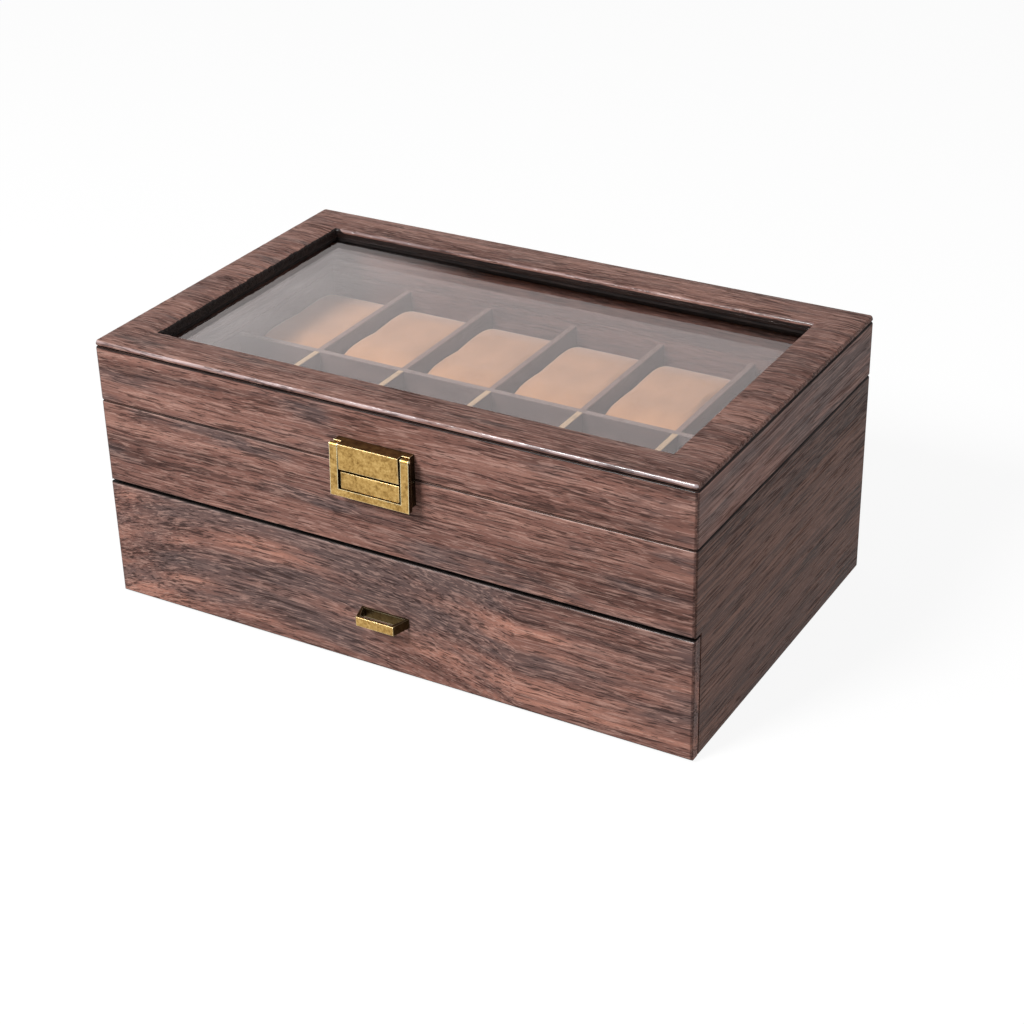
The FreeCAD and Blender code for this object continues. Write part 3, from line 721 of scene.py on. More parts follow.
@dataclass(frozen=True)
class Finishes:
    """Every finish of the box, by the name of the place that it covers."""

    front: Leatherette = Leatherette("wood_print_front", shift=(0.4, 0.0, 0.13))
    back: Leatherette = Leatherette("wood_print_back", shift=(1.1, 0.3, 0.5))
    # The sides' print is a darker copy of the front's: painted shade for the light that misses them. Their
    # crest_shade paints their upward edges dark.
    sides: Leatherette = Leatherette("wood_print_sides", Grain.ALONG_Y, shift=(0.2, 0.7, 0.31),
                                     dark=tone(54, 34, 28), middle=tone(80, 53, 44),
                                     light=tone(104, 72, 60), pale=tone(146, 106, 91),
                                     smoke=tone(50, 37, 33), stretch=1.5, smokiness=0.42,
                                     combing=0.4, twist=0.7 * MM, stroke_share=0.55,
                                     crest_highlight=0.0, crest_shade=1.0)
    # crest_shade paints shade on the lid walls' upward edges
    lid: Leatherette = Leatherette("wood_print_lid", shift=(0.05, 0.2, 0.9), crest_highlight=0.0,
                                   crest_shade=0.9)
    lid_sides: Leatherette = Leatherette("wood_print_lid_sides", Grain.ALONG_Y, shift=(0.8, 0.1, 0.7),
                                         stretch=1.8, stroke_share=0.4, smokiness=0.95,
                                         combing=0.25, crest_highlight=0.0, crest_shade=1.0)
    # The top's print is darker than the front's: painted shade for the light that falls on it. Its glint
    # is a painted highlight, and below foot its shade is painted black.
    top: Leatherette = Leatherette("wood_print_top", shift=(0.6, 0.5, 0.2), dark=tone(72, 48, 42),
                                   middle=tone(104, 73, 65), light=tone(132, 97, 86),
                                   smoke=tone(76, 62, 59), glint=tone(214, 200, 204), smokiness=0.35,
                                   crest_highlight=0.32, shine=0.4, rim=0.0, foot=0.1471)
    # ledge paints the drawer's top black, as shade in the gap under the case's front
    drawer: Leatherette = Leatherette("wood_print_drawer", shift=(0.9, 0.0, 0.64), smokiness=0.36,
                                      lean=2.6, figure_size=2.2, arch=14 * MM,
                                      light=tone(156, 110, 95),
                                      crest_highlight=0.16, shine=0.06, ledge=1.0)
    cross_divider: DividerBoard = DividerBoard("wrapped_divider")
    centre_divider: DividerBoard = DividerBoard("wrapped_centre_divider", front_end=-0.1,
                                                rear_edge=tone(128, 114, 109))
    brass: AntiqueBrass = AntiqueBrass("aged_brass")
    pull: AntiqueBrass = AntiqueBrass("aged_brass_pull", hollow=-0.1137)
    hinge: PlainMetal = PlainMetal("brass_plate")
    screw: PlainMetal = PlainMetal("screw_brass", tone(190, 158, 98), 0.3)
    suede: Suede = Suede("tan_suede")
    tray: Flock = Flock("tray_flock", tone(48, 36, 34), tone(84, 66, 62))
    drawer_floor: Flock = Flock("drawer_flock", tone(52, 38, 34), tone(88, 68, 60))
    felt: Flock = Flock("base_felt", tone(30, 26, 26), tone(62, 56, 54))
    board: PaintedBoard = PaintedBoard("drawer_board", tone(44, 33, 30), tone(70, 53, 47))
    dark_board: PaintedBoard = PaintedBoard("window_board", tone(14, 11, 11), tone(30, 23, 22))
    glass: PaneGlass = PaneGlass("window_glass")


FINISHES = Finishes()


def dress(names: Iterable[str], finish: Finish) -> None:
    """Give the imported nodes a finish.

    Args:
        names: The nodes.
        finish: What they are covered with.
    """
    for name in names:
        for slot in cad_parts[name].material_slots:
            slot.material = finish.material()


def mesh_object(name: str, points: Sequence[Sequence[float]],
                faces: Sequence[Sequence[int]]) -> bpy.types.Object:
    """Make an object at the origin from points and faces.

    Args:
        name: The piece's name.
        points: Places of the corners, in metres.
        faces: The corners of each face, turning outwards.

    Returns:
        The object, in the scene and shaded smooth.
    """
    mesh = bpy.data.meshes.new(name)
    mesh.from_pydata([tuple(point) for point in points], [], [tuple(face) for face in faces])
    mesh.update()
    mesh.shade_smooth()
    made = bpy.data.objects.new(name, mesh)
    bpy.context.scene.collection.objects.link(made)
    return made


def points_of(piece: bpy.types.Object) -> np.ndarray:
    """The places of a piece's corners, one row for each."""
    return np.array([corner.co for corner in piece.data.vertices])


def move_points(piece: bpy.types.Object, places: np.ndarray) -> None:
    """Put a piece's corners in other places."""
    piece.data.vertices.foreach_set("co", places.ravel())


def settle(piece: bpy.types.Object) -> None:
    """Turn a piece with live modifiers into a plain mesh."""
    graph = bpy.context.evaluated_depsgraph_get()
    mesh = bpy.data.meshes.new_from_object(piece.evaluated_get(graph))
    piece.modifiers.clear()
    piece.data = mesh


def report(piece: bpy.types.Object, body: str) -> None:
    """Log a finished piece and the body that it rides on."""
    log.info("%s rides on %s: %d faces", piece.name, body, len(piece.data.polygons))


class GeometryTree:
    """A Geometry Nodes group with named inputs."""

    def __init__(self, name: str, inputs: dict[str, tuple[str, Any]]) -> None:
        """Make the group.

        Args:
            name: The group's name.
            inputs: Its inputs besides the geometry, as socket kind and value.
        """
        self.group = bpy.data.node_groups.new(name, "GeometryNodeTree")
        face = self.group.interface
        face.new_socket(name="Geometry", in_out="INPUT", socket_type="NodeSocketGeometry")
        face.new_socket(name="Geometry", in_out="OUTPUT", socket_type="NodeSocketGeometry")
        self.values = {}
        for label, (kind, value) in inputs.items():
            socket = face.new_socket(name=label, in_out="INPUT", socket_type=kind)
            self.values[socket.identifier] = value
        self.graph = Graph(self.group)
        self.entry = self.graph.node("NodeGroupInput")

    def read(self, label: str) -> Signal:
        """One of the group's inputs."""
        return Signal(self.graph, self.entry.outputs[label])

    def finish(self, geometry: bpy.types.NodeSocket) -> None:
        """Realise what is instanced, set its material and put it out.

        Args:
            geometry: The geometry to put out.
        """
        real = self.graph.node("GeometryNodeRealizeInstances", {}, {0: geometry})
        dressed = self.graph.node("GeometryNodeSetMaterial", {},
                                  {"Geometry": real.outputs[0], "Material": self.read("Material")})
        leave = self.graph.node("NodeGroupOutput")
        self.graph.tree.links.new(dressed.outputs[0], leave.inputs[0])

    def apply(self, piece: bpy.types.Object) -> None:
        """Run the group on a piece and keep the result as its mesh.

        Args:
            piece: The piece that goes in as geometry.
        """
        modifier = piece.modifiers.new(self.group.name, "NODES")
        modifier.node_group = self.group
        for identifier, value in self.values.items():
            modifier[identifier] = value
        settle(piece)


@dataclass
class PaddedFrame:
    """The padded frame over the lid, one sheet drawn round the window.

    Attributes:
        rail: Width of the frame from its outer edge to the window.
        groove: How far the frame's lower edge is cut back over the lid's walls.
        groove_height: How high that groove is.
        outer_round: Radius over the outer edge.
        lip_round: Radius over the lip at the window.
        lip_drop: How far the lip is turned down into the window, below the frame's foot.
        hem: Thickness of the turned-down lip.
        shoulder_drop: How much lower the shoulders lie than the crown.
        corner: Radius of the frame's upright corners.
        spacing: Distance between the mesh's columns.
        pucker_depth: Depth of the gathers in the sheet.
        pucker_spacing: Distance between the gathers.
        pucker_run: How many spacings the gathers keep their form for.
        pucker_sharpness: How narrow the creases between the gathers are.
    """

    rail: float = 24 * MM
    groove: float = 0.9 * MM
    groove_height: float = 0.9 * MM
    outer_round: float = 1.2 * MM
    lip_round: float = 1.9 * MM
    lip_drop: float = 2.0 * MM
    hem: float = 1.0 * MM
    shoulder_drop: float = 0.6 * MM
    corner: float = 2 * MM
    spacing: float = 1.1 * MM
    pucker_depth: float = 0.55 * MM
    pucker_spacing: float = 5.5 * MM
    pucker_run: float = 7.0
    pucker_sharpness: float = 8.0
    low: Vector = field(default_factory=lambda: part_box("top_frame")[0])
    high: Vector = field(default_factory=lambda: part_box("top_frame")[1])

    def section(self) -> list[tuple[float, float]]:
        """The rail's section as distances in from the outer edge and heights above its foot.

        Returns:
            The points of the closed section, from the foot outside, over the top and back inside.
        """
        thickness = self.high.z - self.low.z - self.lip_drop
        shoulder = thickness - self.shoulder_drop
        roll = shoulder - self.groove_height
        set_in, crown_spacing, turns = 0.25 * MM, 0.8 * MM, 8
        points = [(self.groove, 0.0), (self.groove, self.groove_height), (set_in, self.groove_height)]
        for step in range(1, turns + 1):
            angle = math.pi / 2 * step / turns
            points.append((self.outer_round * (1 - math.cos(angle)),
                           self.groove_height + roll * math.sin(angle)))
        start, end = self.outer_round, self.rail - self.lip_round
        steps = round((end - start) / crown_spacing)
        for step in range(1, steps):
            share = step / steps
            bow = 1 - (2 * share - 1) ** 2
            points.append((start + (end - start) * share, shoulder + self.shoulder_drop * bow))
        for step in range(turns + 2):
            angle = math.pi / 2 * step / (turns + 1)
            points.append((end + self.lip_round * math.sin(angle),
                           shoulder - self.lip_round * (1 - math.cos(angle))))
        soft = 0.3 * MM
        points += [(self.rail, 0.4 * MM), (self.rail, soft - self.lip_drop),
                   (self.rail - soft, -self.lip_drop), (self.rail - self.hem, -self.lip_drop),
                   (self.rail - self.hem, 0.0)]
        return points

    def outline(self) -> list[tuple[float, float]]:
        """Shares of the half width and half depth round the rectangle, with its corners kept."""
        columns_x = round((self.high.x - self.low.x) / self.spacing)
        columns_y = round((self.high.y - self.low.y) / self.spacing)
        ring = [(2 * i / columns_x - 1, -1.0) for i in range(columns_x)]
        ring += [(1.0, 2 * i / columns_y - 1) for i in range(columns_y)]
        ring += [(1 - 2 * i / columns_x, 1.0) for i in range(columns_x)]
        ring += [(-1.0, 1 - 2 * i / columns_y) for i in range(columns_y)]
        return ring

    def soft_corner(self, x: float, y: float, inset: float) -> tuple[float, float]:
        """Round a point that lies in an outer corner.

        Args:
            x: The point's X.
            y: The point's Y.
            inset: How far in from the outer edge its line runs.

        Returns:
            The point on the round corner.
        """
        centre_x = self.high.x - self.corner
        centre_y = self.high.y - self.corner
        over_x, over_y = abs(x) - centre_x, abs(y) - centre_y
        reach = max(over_x, over_y)
        if over_x <= 0 or over_y <= 0 or inset >= self.corner:
            return x, y
        length = math.hypot(over_x, over_y)
        return (math.copysign(centre_x + over_x * reach / length, x),
                math.copysign(centre_y + over_y * reach / length, y))

    def pucker(self, x: float, y: float, inset: float) -> float:
        """How strongly the sheet is gathered at a point, 0 to 1.

        Args:
            x: The point's X.
            y: The point's Y.
            inset: Its distance in from the outer edge.

        Returns:
            The strength.
        """
        share = min(max(inset / self.rail, 0.0), 1.0)
        at_side = abs(x) / self.high.x - abs(y) / self.high.y > 0.0
        along = y / self.high.y if at_side else x / self.high.x
        ends = max(0.0, 1 - abs(along) ** 4)
        if at_side:
            rail = "left" if x < 0 else "right"
        else:
            rail = "rear" if y > 0 else "front"
        least, gain, power, to_window = RAIL_GATHERS[rail]
        reach = share if to_window else 1 - share
        return (least + gain * reach ** power) * ends

    def build(self) -> bpy.types.Object:
        """Sweep the section round the window and gather the sheet.

        Returns:
            The finished piece.
        """
        section = self.section()
        ring = self.outline()
        points, strengths, lines = [], [], []
        for share_x, share_y in ring:
            for inset, height in section:
                x = share_x * (self.high.x - inset)
                y = share_y * (self.high.y - inset)
                x, y = self.soft_corner(x, y, inset)
                points.append((x, y, self.low.z + self.lip_drop + height))
                on_top = height > self.outer_round
                strengths.append(self.pucker(x, y, inset) if on_top else 0.0)
                at_side = abs(share_x) > abs(share_y)
                lines.append(y if at_side else x)
        size, count = len(section), len(ring)
        faces = []
        for column in range(count):
            following = (column + 1) % count
            for row in range(size):
                after = (row + 1) % size
                faces.append((column * size + row, following * size + row,
                              following * size + after, column * size + after))
        piece = mesh_object("padded_top_frame", points, faces)
        for label, values in (("pucker", strengths), ("along", lines)):
            piece.data.attributes.new(label, "FLOAT", "POINT").data.foreach_set("value", values)
        piece.data.materials.append(FINISHES.top.material())
        self.gather(piece)
        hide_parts("top_frame")
        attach(piece, "lid")
        report(piece, "lid")
        return piece

    def gather(self, piece: bpy.types.Object) -> None:
        """Push the sheet in and out along its gathers, by Geometry Nodes.

        Args:
            piece: The swept frame.
        """
        tree = GeometryTree("gathered_sheet", {
            "Depth": ("NodeSocketFloat", self.pucker_depth),
            "Spacing": ("NodeSocketFloat", self.pucker_spacing),
            "Seed": ("NodeSocketFloat", 4.0),
            "Material": ("NodeSocketMaterial", FINISHES.top.material()),
        })
        graph = tree.graph
        strength, line = (graph.node("GeometryNodeInputNamedAttribute", {"data_type": "FLOAT"},
                                     {0: label}) for label in ("pucker", "along"))
        spacing = tree.read("Spacing")
        x, y = graph.parts(graph.node("GeometryNodeInputPosition").outputs[0])[:2]
        wide = spacing * self.pucker_run
        spot = graph.point(Signal(graph, line.outputs[0]) / spacing, x / wide, y / wide)
        folds = graph.node("ShaderNodeTexNoise", {"noise_dimensions": "4D"},
                           {"Vector": spot, "W": tree.read("Seed"), "Scale": 1.0, "Detail": 2.0})
        crease = abs(Signal(graph, folds.outputs[0]) - 0.5) * self.pucker_sharpness - 1.0
        crease = graph.math("MINIMUM", crease, 0.0)
        push = crease * Signal(graph, strength.outputs[0]) * tree.read("Depth")
        normal = graph.node("GeometryNodeInputNormal")
        offset = graph.node("ShaderNodeVectorMath", {"operation": "SCALE"},
                            {0: normal.outputs[0], "Scale": push})
        moved = graph.node("GeometryNodeSetPosition", {},
                           {"Geometry": tree.entry.outputs["Geometry"], "Offset": offset.outputs[0]})
        tree.finish(moved.outputs[0])
        tree.apply(piece)


@dataclass
class WatchPillows:
    """The six suede pillows, swollen as cloth by a little pressure.

    Attributes:
        count: How many pillows stand in the rear row.
        shrink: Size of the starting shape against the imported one.
        roundness: Power of the curve that its section is drawn to.
        squareness: Power of the curve that its ends are drawn to.
        voxel: Size of the faces that the cloth is made of.
        pressure: How hard the filling presses out.
        frames: How long the cloth is let move.
        reach: How far a point may move.
    """

    count: int = 6
    shrink: float = 0.975
    roundness: float = 5.0
    squareness: float = 14.0
    voxel: float = 2.0 * MM
    pressure: float = 4.0
    frames: int = 20
    reach: float = 1.6 * MM

    def start(self, node: str) -> bpy.types.Object:
        """Copy a packed pillow as one closed skin, a little smaller.

        Args:
            node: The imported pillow.

        Returns:
            The copy.
        """
        low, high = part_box(node)
        middle = (low + high) / 2
        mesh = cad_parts[node].data.copy()
        skin = bmesh.new()
        skin.from_mesh(mesh)
        bmesh.ops.remove_doubles(skin, verts=skin.verts, dist=0.01 * MM)
        bmesh.ops.scale(skin, vec=(self.shrink,) * 3, space=Matrix.Translation(-middle), verts=skin.verts)
        skin.to_mesh(mesh)
        skin.free()
        piece = bpy.data.objects.new("suede_" + node, mesh)
        bpy.context.scene.collection.objects.link(piece)
        remesh = piece.modifiers.new("remesh", "REMESH")
        remesh.mode = "VOXEL"
        remesh.voxel_size = self.voxel
        settle(piece)
        half = (high - low) * (self.shrink / 2)
        places = (points_of(piece) - np.array(middle)) / np.array(half)
        ends, section = np.abs(places[:, :1]), np.abs(places[:, 1:])
        section = (section ** self.roundness).sum(axis=1, keepdims=True) ** (1 / self.roundness)
        radius = (ends ** self.squareness + section ** self.squareness) ** (1 / self.squareness)
        move_points(piece, np.array(middle) + places / radius * np.array(half))
        return piece

    def swell(self, pieces: Sequence[bpy.types.Object]) -> None:
        """Let the filling press the skins out, and keep the result.

        Args:
            pieces: The pillows.
        """
        before = [points_of(piece) for piece in pieces]
        for piece in pieces:
            cloth = piece.modifiers.new("cloth", "CLOTH")
            cloth.settings.use_pressure = True
            cloth.settings.uniform_pressure_force = self.pressure
            cloth.settings.effector_weights.gravity = 0.0
        for step in range(1, self.frames + 1):
            bpy.context.scene.frame_set(step)
        for piece in pieces:
            settle(piece)
        bpy.context.scene.frame_set(1)
        for piece, old in zip(pieces, before):
            move = points_of(piece) - old
            length = np.linalg.norm(move, axis=1, keepdims=True)
            move *= np.minimum(1.0, self.reach / np.maximum(length, 1e-9))
            move_points(piece, old + move)

    def build(self) -> list[bpy.types.Object]:
        """Make the pillows.

        Returns:
            The finished pieces.
        """
        nodes = ["watch_pillow_%d" % number for number in range(1, self.count + 1)]
        pieces = [self.start(node) for node in nodes]
        self.swell(pieces)
        for piece, node in zip(pieces, nodes):
            smooth = piece.modifiers.new("smooth", "SUBSURF")
            smooth.levels = smooth.render_levels = 1
            settle(piece)
            self.keep_inside(piece, node)
            piece.data.shade_smooth()
            piece.data.materials.clear()
            piece.data.materials.append(FINISHES.suede.material())
            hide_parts(node)
            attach(piece, "case")
            report(piece, "case")
        return pieces

    @staticmethod
    def keep_inside(piece: bpy.types.Object, node: str) -> None:
        """Keep a pillow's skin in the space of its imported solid, so that it clears the dividers."""
        low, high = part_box(node)
        move_points(piece, np.clip(points_of(piece), np.array(low), np.array(high)))
        piece.data.update()


@dataclass
class Screws:
    """Countersunk screws with cross recesses, stood on points by Geometry Nodes.

    Attributes:
        head_radius: Radius of the flat head.
        shank_radius: Radius of the shank.
        head_height: Depth of the cone under the head.
        recess_width: Width of one arm of the cross.
        recess_length: Length of one arm from end to end.
        recess_depth: How deep the cross goes.
        sides: How many flat faces the head and the shank have.
    """

    head_radius: float = 2.05 * MM
    shank_radius: float = 1.05 * MM
    head_height: float = 1.1 * MM
    recess_width: float = 0.55 * MM
    recess_length: float = 2.6 * MM
    recess_depth: float = 0.6 * MM
    sides: int = 32

    def tree(self, length: float) -> GeometryTree:
        """The group that stands a screw on each point, its head towards +Y.

        Args:
            length: The screws' whole length.

        Returns:
            The group.
        """
        made = GeometryTree("countersunk_screws", {
            "Head Radius": ("NodeSocketFloat", self.head_radius),
            "Shank Radius": ("NodeSocketFloat", self.shank_radius),
            "Head Height": ("NodeSocketFloat", self.head_height),
            "Length": ("NodeSocketFloat", length),
            "Recess Width": ("NodeSocketFloat", self.recess_width),
            "Recess Length": ("NodeSocketFloat", self.recess_length),
            "Recess Depth": ("NodeSocketFloat", self.recess_depth),
            "Seed": ("NodeSocketInt", 3),
            "Material": ("NodeSocketMaterial", FINISHES.screw.material()),
        })
        graph = made.graph
        cone = graph.node("GeometryNodeMeshCone", {},
                          {"Vertices": self.sides, "Radius Top": made.read("Head Radius"),
                           "Radius Bottom": made.read("Shank Radius"), "Depth": made.read("Head Height")})
        sunk = graph.point(0.0, 0.0, made.read("Head Height") * -1.0)
        head = graph.node("GeometryNodeTransform", {},
                          {"Geometry": cone.outputs[0], "Translation": sunk})
        depth = made.read("Recess Depth") * 2.0
        cut = graph.node("GeometryNodeMeshBoolean", {"operation": "DIFFERENCE"},
                         {"Mesh 1": head.outputs[0]})
        for turn in (0.0, math.pi / 2):
            size = graph.point(made.read("Recess Length"), made.read("Recess Width"), depth)
            arm = graph.node("GeometryNodeMeshCube", {}, {"Size": size})
            turned = graph.node("GeometryNodeTransform", {},
                                {"Geometry": arm.outputs[0], "Rotation": (0.0, 0.0, turn)})
            graph.tree.links.new(turned.outputs[0], cut.inputs["Mesh 2"])
        rest = made.read("Length") - made.read("Head Height")
        shank = graph.node("GeometryNodeMeshCylinder", {},
                           {"Vertices": self.sides, "Radius": made.read("Shank Radius"), "Depth": rest})
        middle = graph.point(0.0, 0.0, rest * -0.5 - made.read("Head Height"))
        lowered = graph.node("GeometryNodeTransform", {},
                             {"Geometry": shank.outputs[0], "Translation": middle})
        whole = graph.node("GeometryNodeJoinGeometry")
        for part in (lowered, cut):
            graph.tree.links.new(part.outputs[0], whole.inputs[0])
        spin = graph.node("FunctionNodeRandomValue", {"data_type": "FLOAT"},
                          {2: 0.0, 3: math.pi, "Seed": made.read("Seed")})
        aimed = graph.node("FunctionNodeRotateEuler", {"rotation_type": "EULER", "space": "LOCAL"},
                           {"Rotation": (-math.pi / 2, 0.0, 0.0),
                            "Rotate By": graph.point(0.0, 0.0, Signal(graph, spin.outputs[1]))})
        placed = graph.node("GeometryNodeInstanceOnPoints", {},
                            {"Points": made.entry.outputs["Geometry"], "Instance": whole.outputs[0],
                             "Rotation": aimed.outputs[0]})
        made.finish(placed.outputs[0])
        return made

    def heads_of(self, node: str) -> list[Vector]:
        """Where a packed group's screws have the centres of their heads.

        Args:
            node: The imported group, whose screws lie along Y with their heads at the +Y end.

        Returns:
            The centres.
        """
        low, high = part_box(node)
        places = np.sort([v.co.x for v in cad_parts[node].data.vertices])
        breaks = np.flatnonzero(np.diff(places) > self.head_radius) + 1
        middle = (low.z + high.z) / 2
        return [Vector(((group[0] + group[-1]) / 2, high.y, middle))
                for group in np.split(places, breaks)]

    def build(self, node: str, body: str) -> bpy.types.Object:
        """Stand new screws in the holes of a packed group.

        Args:
            node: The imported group.
            body: The body that it rides on.

        Returns:
            The finished piece.
        """
        low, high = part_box(node)
        piece = mesh_object("cross_" + node, self.heads_of(node), [])
        self.tree(high.y - low.y).apply(piece)
        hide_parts(node)
        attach(piece, body)
        report(piece, body)
        return piece


@dataclass
class LatchKeeper:
    """The latch's lower half, whose raised plate fills the loop's window.

    Attributes:
        proud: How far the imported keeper's raised part stands over its back plate.
        stile: Width of the loop's upright stiles.
        rail: Height of the loop's lower rail.
        play: Gap between the raised plate and the loop's stiles.
        foot_play: Gap between the raised plate and the loop's rail.
        head_gap: How much lower than the seam the raised plate ends.
        recess: How far the raised plate lies behind the loop's face.
        lean: How much further out the loop's face is at its foot than at its pin.
        round: Radius of the edges.
    """

    proud: float = 0.6 * MM
    stile: float = 4.5 * MM
    rail: float = 4.0 * MM
    play: float = 1.2 * MM
    foot_play: float = 0.3 * MM
    head_gap: float = 1.1 * MM
    recess: float = 0.6 * MM
    lean: float = 1.2 * MM
    round: float = 0.3 * MM

    def plate(self, half: float, bottom: float, top: float, back: float,
              bottom_front: float, top_front: float) -> tuple[list[Vector], list[tuple[int, ...]]]:
        """A plate with upright sides whose face may lean.

        Args:
            half: Half its width.
            bottom: Height of its foot.
            top: Height of its top.
            back: Y of its back.
            bottom_front: Y of its face at the foot.
            top_front: Y of its face at the top.

        Returns:
            Its corners and faces.
        """
        ends = [(back, bottom), (bottom_front, bottom), (top_front, top), (back, top)]
        points = [Vector((x, y, z)) for x in (-half, half) for y, z in ends]
        faces = [(0, 1, 2, 3), (7, 6, 5, 4)]
        faces += [(i, i + 4, (i + 1) % 4 + 4, (i + 1) % 4) for i in range(4)]
        return points, faces

    def build(self) -> bpy.types.Object:
        """Make the two plates and round their edges.

        Returns:
            The finished piece.
        """
        low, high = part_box("latch_keeper")
        loop_low, loop_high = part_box("latch_loop")
        foot = loop_low.z + self.rail + self.foot_play
        slope = self.lean / (loop_high.z - loop_low.z)
        head = high.z - self.head_gap
        reach = [loop_low.y + self.recess + slope * (z - loop_low.z) for z in (foot, head)]
        half = loop_high.x - self.stile - self.play
        base = self.plate(high.x, low.z, high.z, high.y, low.y + self.proud, low.y + self.proud)
        raised = self.plate(half, foot, head, high.y, *reach)
        shift = len(base[0])
        faces = base[1] + [tuple(i + shift for i in face) for face in raised[1]]
        piece = mesh_object("keeper_plates", base[0] + raised[0], faces)
        piece.data.materials.append(FINISHES.brass.material())
        edges = piece.modifiers.new("edges", "BEVEL")
        edges.width = self.round
        edges.segments = 3
        settle(piece)
        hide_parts("latch_keeper")
        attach(piece, "case")
        report(piece, "case")
        return piece


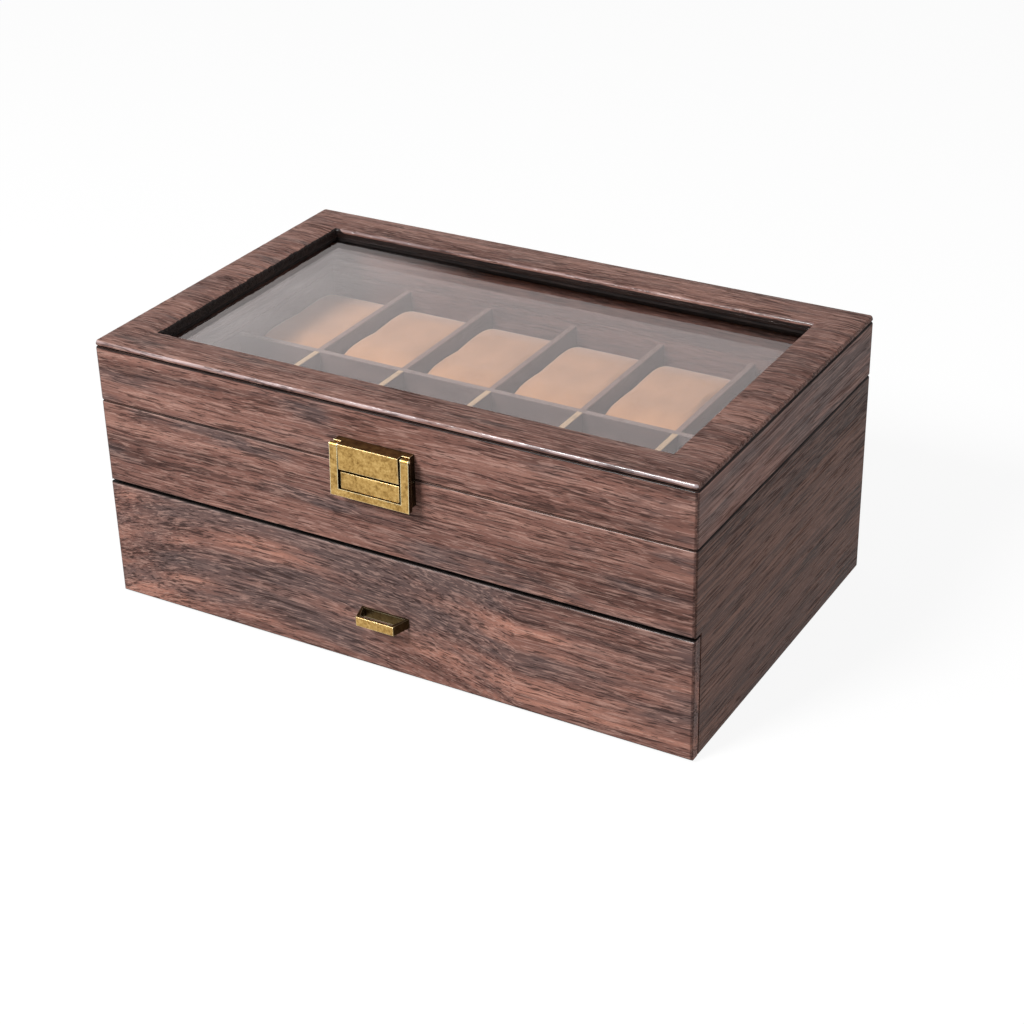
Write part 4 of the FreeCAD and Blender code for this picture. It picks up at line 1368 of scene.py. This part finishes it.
@dataclass
class Studio:
    """Floor, lights and camera, none of them part of the box.

    Attributes:
        azimuth: The camera's direction round the box, in degrees.
        elevation: Its height above the horizon, in degrees.
        roll: Its tilt, in degrees.
        place: Where it stands.
        lens: Its focal length in millimetres on a 36 mm sensor.
        ambient: Strength of the even light that falls on the box.
        aim: What the lights point at.
        lights: Name, place, length of a side and power in watts of each light.
        floor_half: Half the floor's width.
        floor_bounce: How pale the floor is to the light that it throws on the box.
        floor_paper: How pale it is where it keeps the shadow.
        floor_glow: Share of plain white that is mixed into what is seen of it.
    """

    azimuth: float = 30.31029
    elevation: float = 28.82593
    roll: float = -1.28535
    place: tuple[float, float, float] = (0.519427, -0.865910, 0.597079)
    lens: float = 75.63
    ambient: float = 0.38
    aim: tuple[float, float, float] = (0.0, 0.0, 0.08)
    lights: tuple[tuple[str, tuple[float, float, float], float, float], ...] = (
        ("key", (-0.55, -1.58, 1.51), 0.55, 55.0),
        ("edge_light", (-0.88, -1.24, 1.38), 0.3, 6.0),
        ("side_fill", (1.9, -0.7, 0.8), 1.5, 9.0),
    )
    floor_half: float = 4.0
    floor_bounce: float = 0.42
    floor_paper: float = 0.95
    floor_glow: float = 0.9

    def camera(self) -> None:
        """Stand the camera where the photograph was taken from."""
        azimuth, elevation, roll = (math.radians(value) for value in
                                    (self.azimuth, self.elevation, self.roll))
        back = Vector((math.sin(azimuth) * math.cos(elevation),
                       -math.cos(azimuth) * math.cos(elevation), math.sin(elevation)))
        right = (-back).cross(Vector((0, 0, 1))).normalized()
        up = right.cross(-back)
        across = math.cos(roll) * right + math.sin(roll) * up
        upward = math.cos(roll) * up - math.sin(roll) * right
        turn = Matrix((across, upward, back)).transposed().to_4x4()
        data = bpy.data.cameras.new("camera")
        data.sensor_width = 36.0
        data.lens = self.lens
        data.clip_start = 0.01
        data.clip_end = 20.0
        camera = bpy.data.objects.new("camera", data)
        camera.matrix_world = Matrix.Translation(Vector(self.place)) @ turn
        bpy.context.scene.collection.objects.link(camera)
        bpy.context.scene.camera = camera

    @staticmethod
    def area(name: str, place: Vector, target: Vector, size: float, power: float) -> None:
        """Hang a square soft light.

        Args:
            name: The light's name.
            place: Where it hangs.
            target: What it points at.
            size: The length of its side.
            power: Its power in watts.
        """
        data = bpy.data.lights.new(name, "AREA")
        data.size = size
        data.energy = power
        light = bpy.data.objects.new(name, data)
        light.location = place
        light.rotation_mode = "QUATERNION"
        light.rotation_quaternion = (target - place).to_track_quat("-Z", "Y")
        bpy.context.scene.collection.objects.link(light)

    @staticmethod
    def seen(graph: Graph, *kinds: str) -> Signal:
        """1 for the kinds of rays that are named, as the node for a ray's path names them.

        Args:
            graph: The nodes of the material or the world.
            kinds: The names.

        Returns:
            The mask.
        """
        rays = graph.node("ShaderNodeLightPath")
        return graph.most(*(Signal(graph, rays.outputs[kind]) for kind in kinds))

    def world(self) -> None:
        """Light the room evenly, and show it white to the camera and in mirrors."""
        world = bpy.data.worlds.new("studio")
        world.use_nodes = True
        graph = Graph(world.node_tree)
        seen = self.seen(graph, "Is Camera Ray", "Is Glossy Ray", "Is Transmission Ray")
        strength = seen * (1.0 - self.ambient) + self.ambient
        graph.fill(world.node_tree.nodes["Background"], {"Color": WHITE, "Strength": strength})
        bpy.context.scene.world = world

    def floor(self) -> None:
        """Lay a white floor that keeps a soft shadow of the box."""
        half = self.floor_half
        corners = [(-half, -half, 0), (half, -half, 0), (half, half, 0), (-half, half, 0)]
        floor = mesh_object("floor", corners, [(0, 1, 2, 3)])
        material = bpy.data.materials.new("white_paper")
        material.use_nodes = True
        graph = Graph(material.node_tree)
        material.node_tree.nodes.remove(material.node_tree.nodes["Principled BSDF"])
        seen = self.seen(graph, "Is Camera Ray", "Is Glossy Ray")
        bounce, paper = (graph.node("ShaderNodeBsdfDiffuse", {}, {"Color": (grey, grey, grey, 1.0)})
                         for grey in (self.floor_bounce, self.floor_paper))
        glow = graph.node("ShaderNodeEmission", {}, {"Color": WHITE, "Strength": 1.0})
        white = graph.node("ShaderNodeMixShader", {},
                           {0: self.floor_glow, 1: paper.outputs[0], 2: glow.outputs[0]})
        mixed = graph.node("ShaderNodeMixShader", {}, {0: seen, 1: bounce.outputs[0], 2: white.outputs[0]})
        graph.tree.links.new(mixed.outputs[0], graph.tree.nodes["Material Output"].inputs["Surface"])
        floor.data.materials.append(material)

    def build(self) -> None:
        """Set the whole studio up."""
        self.camera()
        self.world()
        self.floor()
        for name, place, size, power in self.lights:
            self.area(name, Vector(place), Vector(self.aim), size, power)
        bpy.context.scene.view_settings.view_transform = "Standard"
        log.info("studio is set")


def dress_frame() -> None:
    """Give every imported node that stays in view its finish."""
    dress(["case_front_panel"], FINISHES.front)
    dress(["case_back_panel"], FINISHES.back)
    dress(["case_side_left", "case_side_right"], FINISHES.sides)
    dress(["lid_front_wall", "lid_back_wall"], FINISHES.lid)
    dress(["lid_left_wall", "lid_right_wall"], FINISHES.lid_sides)
    dress(["drawer_face"], FINISHES.drawer)
    dress(["glass_frame"] + ["glass_bead_" + side for side in ("front", "back", "left", "right")],
          FINISHES.dark_board)
    dress(["centre_divider"], FINISHES.centre_divider)
    dress(["cross_divider_%d" % number for number in range(1, 6)], FINISHES.cross_divider)
    dress(["tray_lining"], FINISHES.tray)
    dress(["drawer_lining"], FINISHES.drawer_floor)
    dress(["base_felt"], FINISHES.felt)
    dress(["case_base", "tray_deck", "drawer_inner_front", "drawer_side_left", "drawer_side_right",
           "drawer_back", "drawer_bottom"], FINISHES.board)
    dress(["glass_pane"], FINISHES.glass)
    dress(["latch_upper_plate", "latch_loop", "latch_pin"], FINISHES.brass)
    dress(["drawer_pull"], FINISHES.pull)
    dress(["hinge_%s_%s" % (kind, side) for kind in ("leaf_lid", "leaf_case", "pin")
           for side in ("left", "right")], FINISHES.hinge)
    log.info("packed nodes are dressed")


def main() -> None:
    """Dress the imported nodes, build every piece and set up the studio."""
    logging.basicConfig(level=logging.INFO, format="%(message)s")
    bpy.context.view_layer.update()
    dress_frame()
    PaddedFrame().build()
    WatchPillows().build()
    LatchKeeper().build()
    for node, body in (("hinge_screws_lid", "lid"), ("latch_screws_lid", "lid"),
                       ("hinge_screws_case", "case"), ("latch_screws_case", "case"),
                       ("pull_screws", "drawer")):
        Screws().build(node, body)
    Studio().build()


if __name__ == "__main__":
    main()
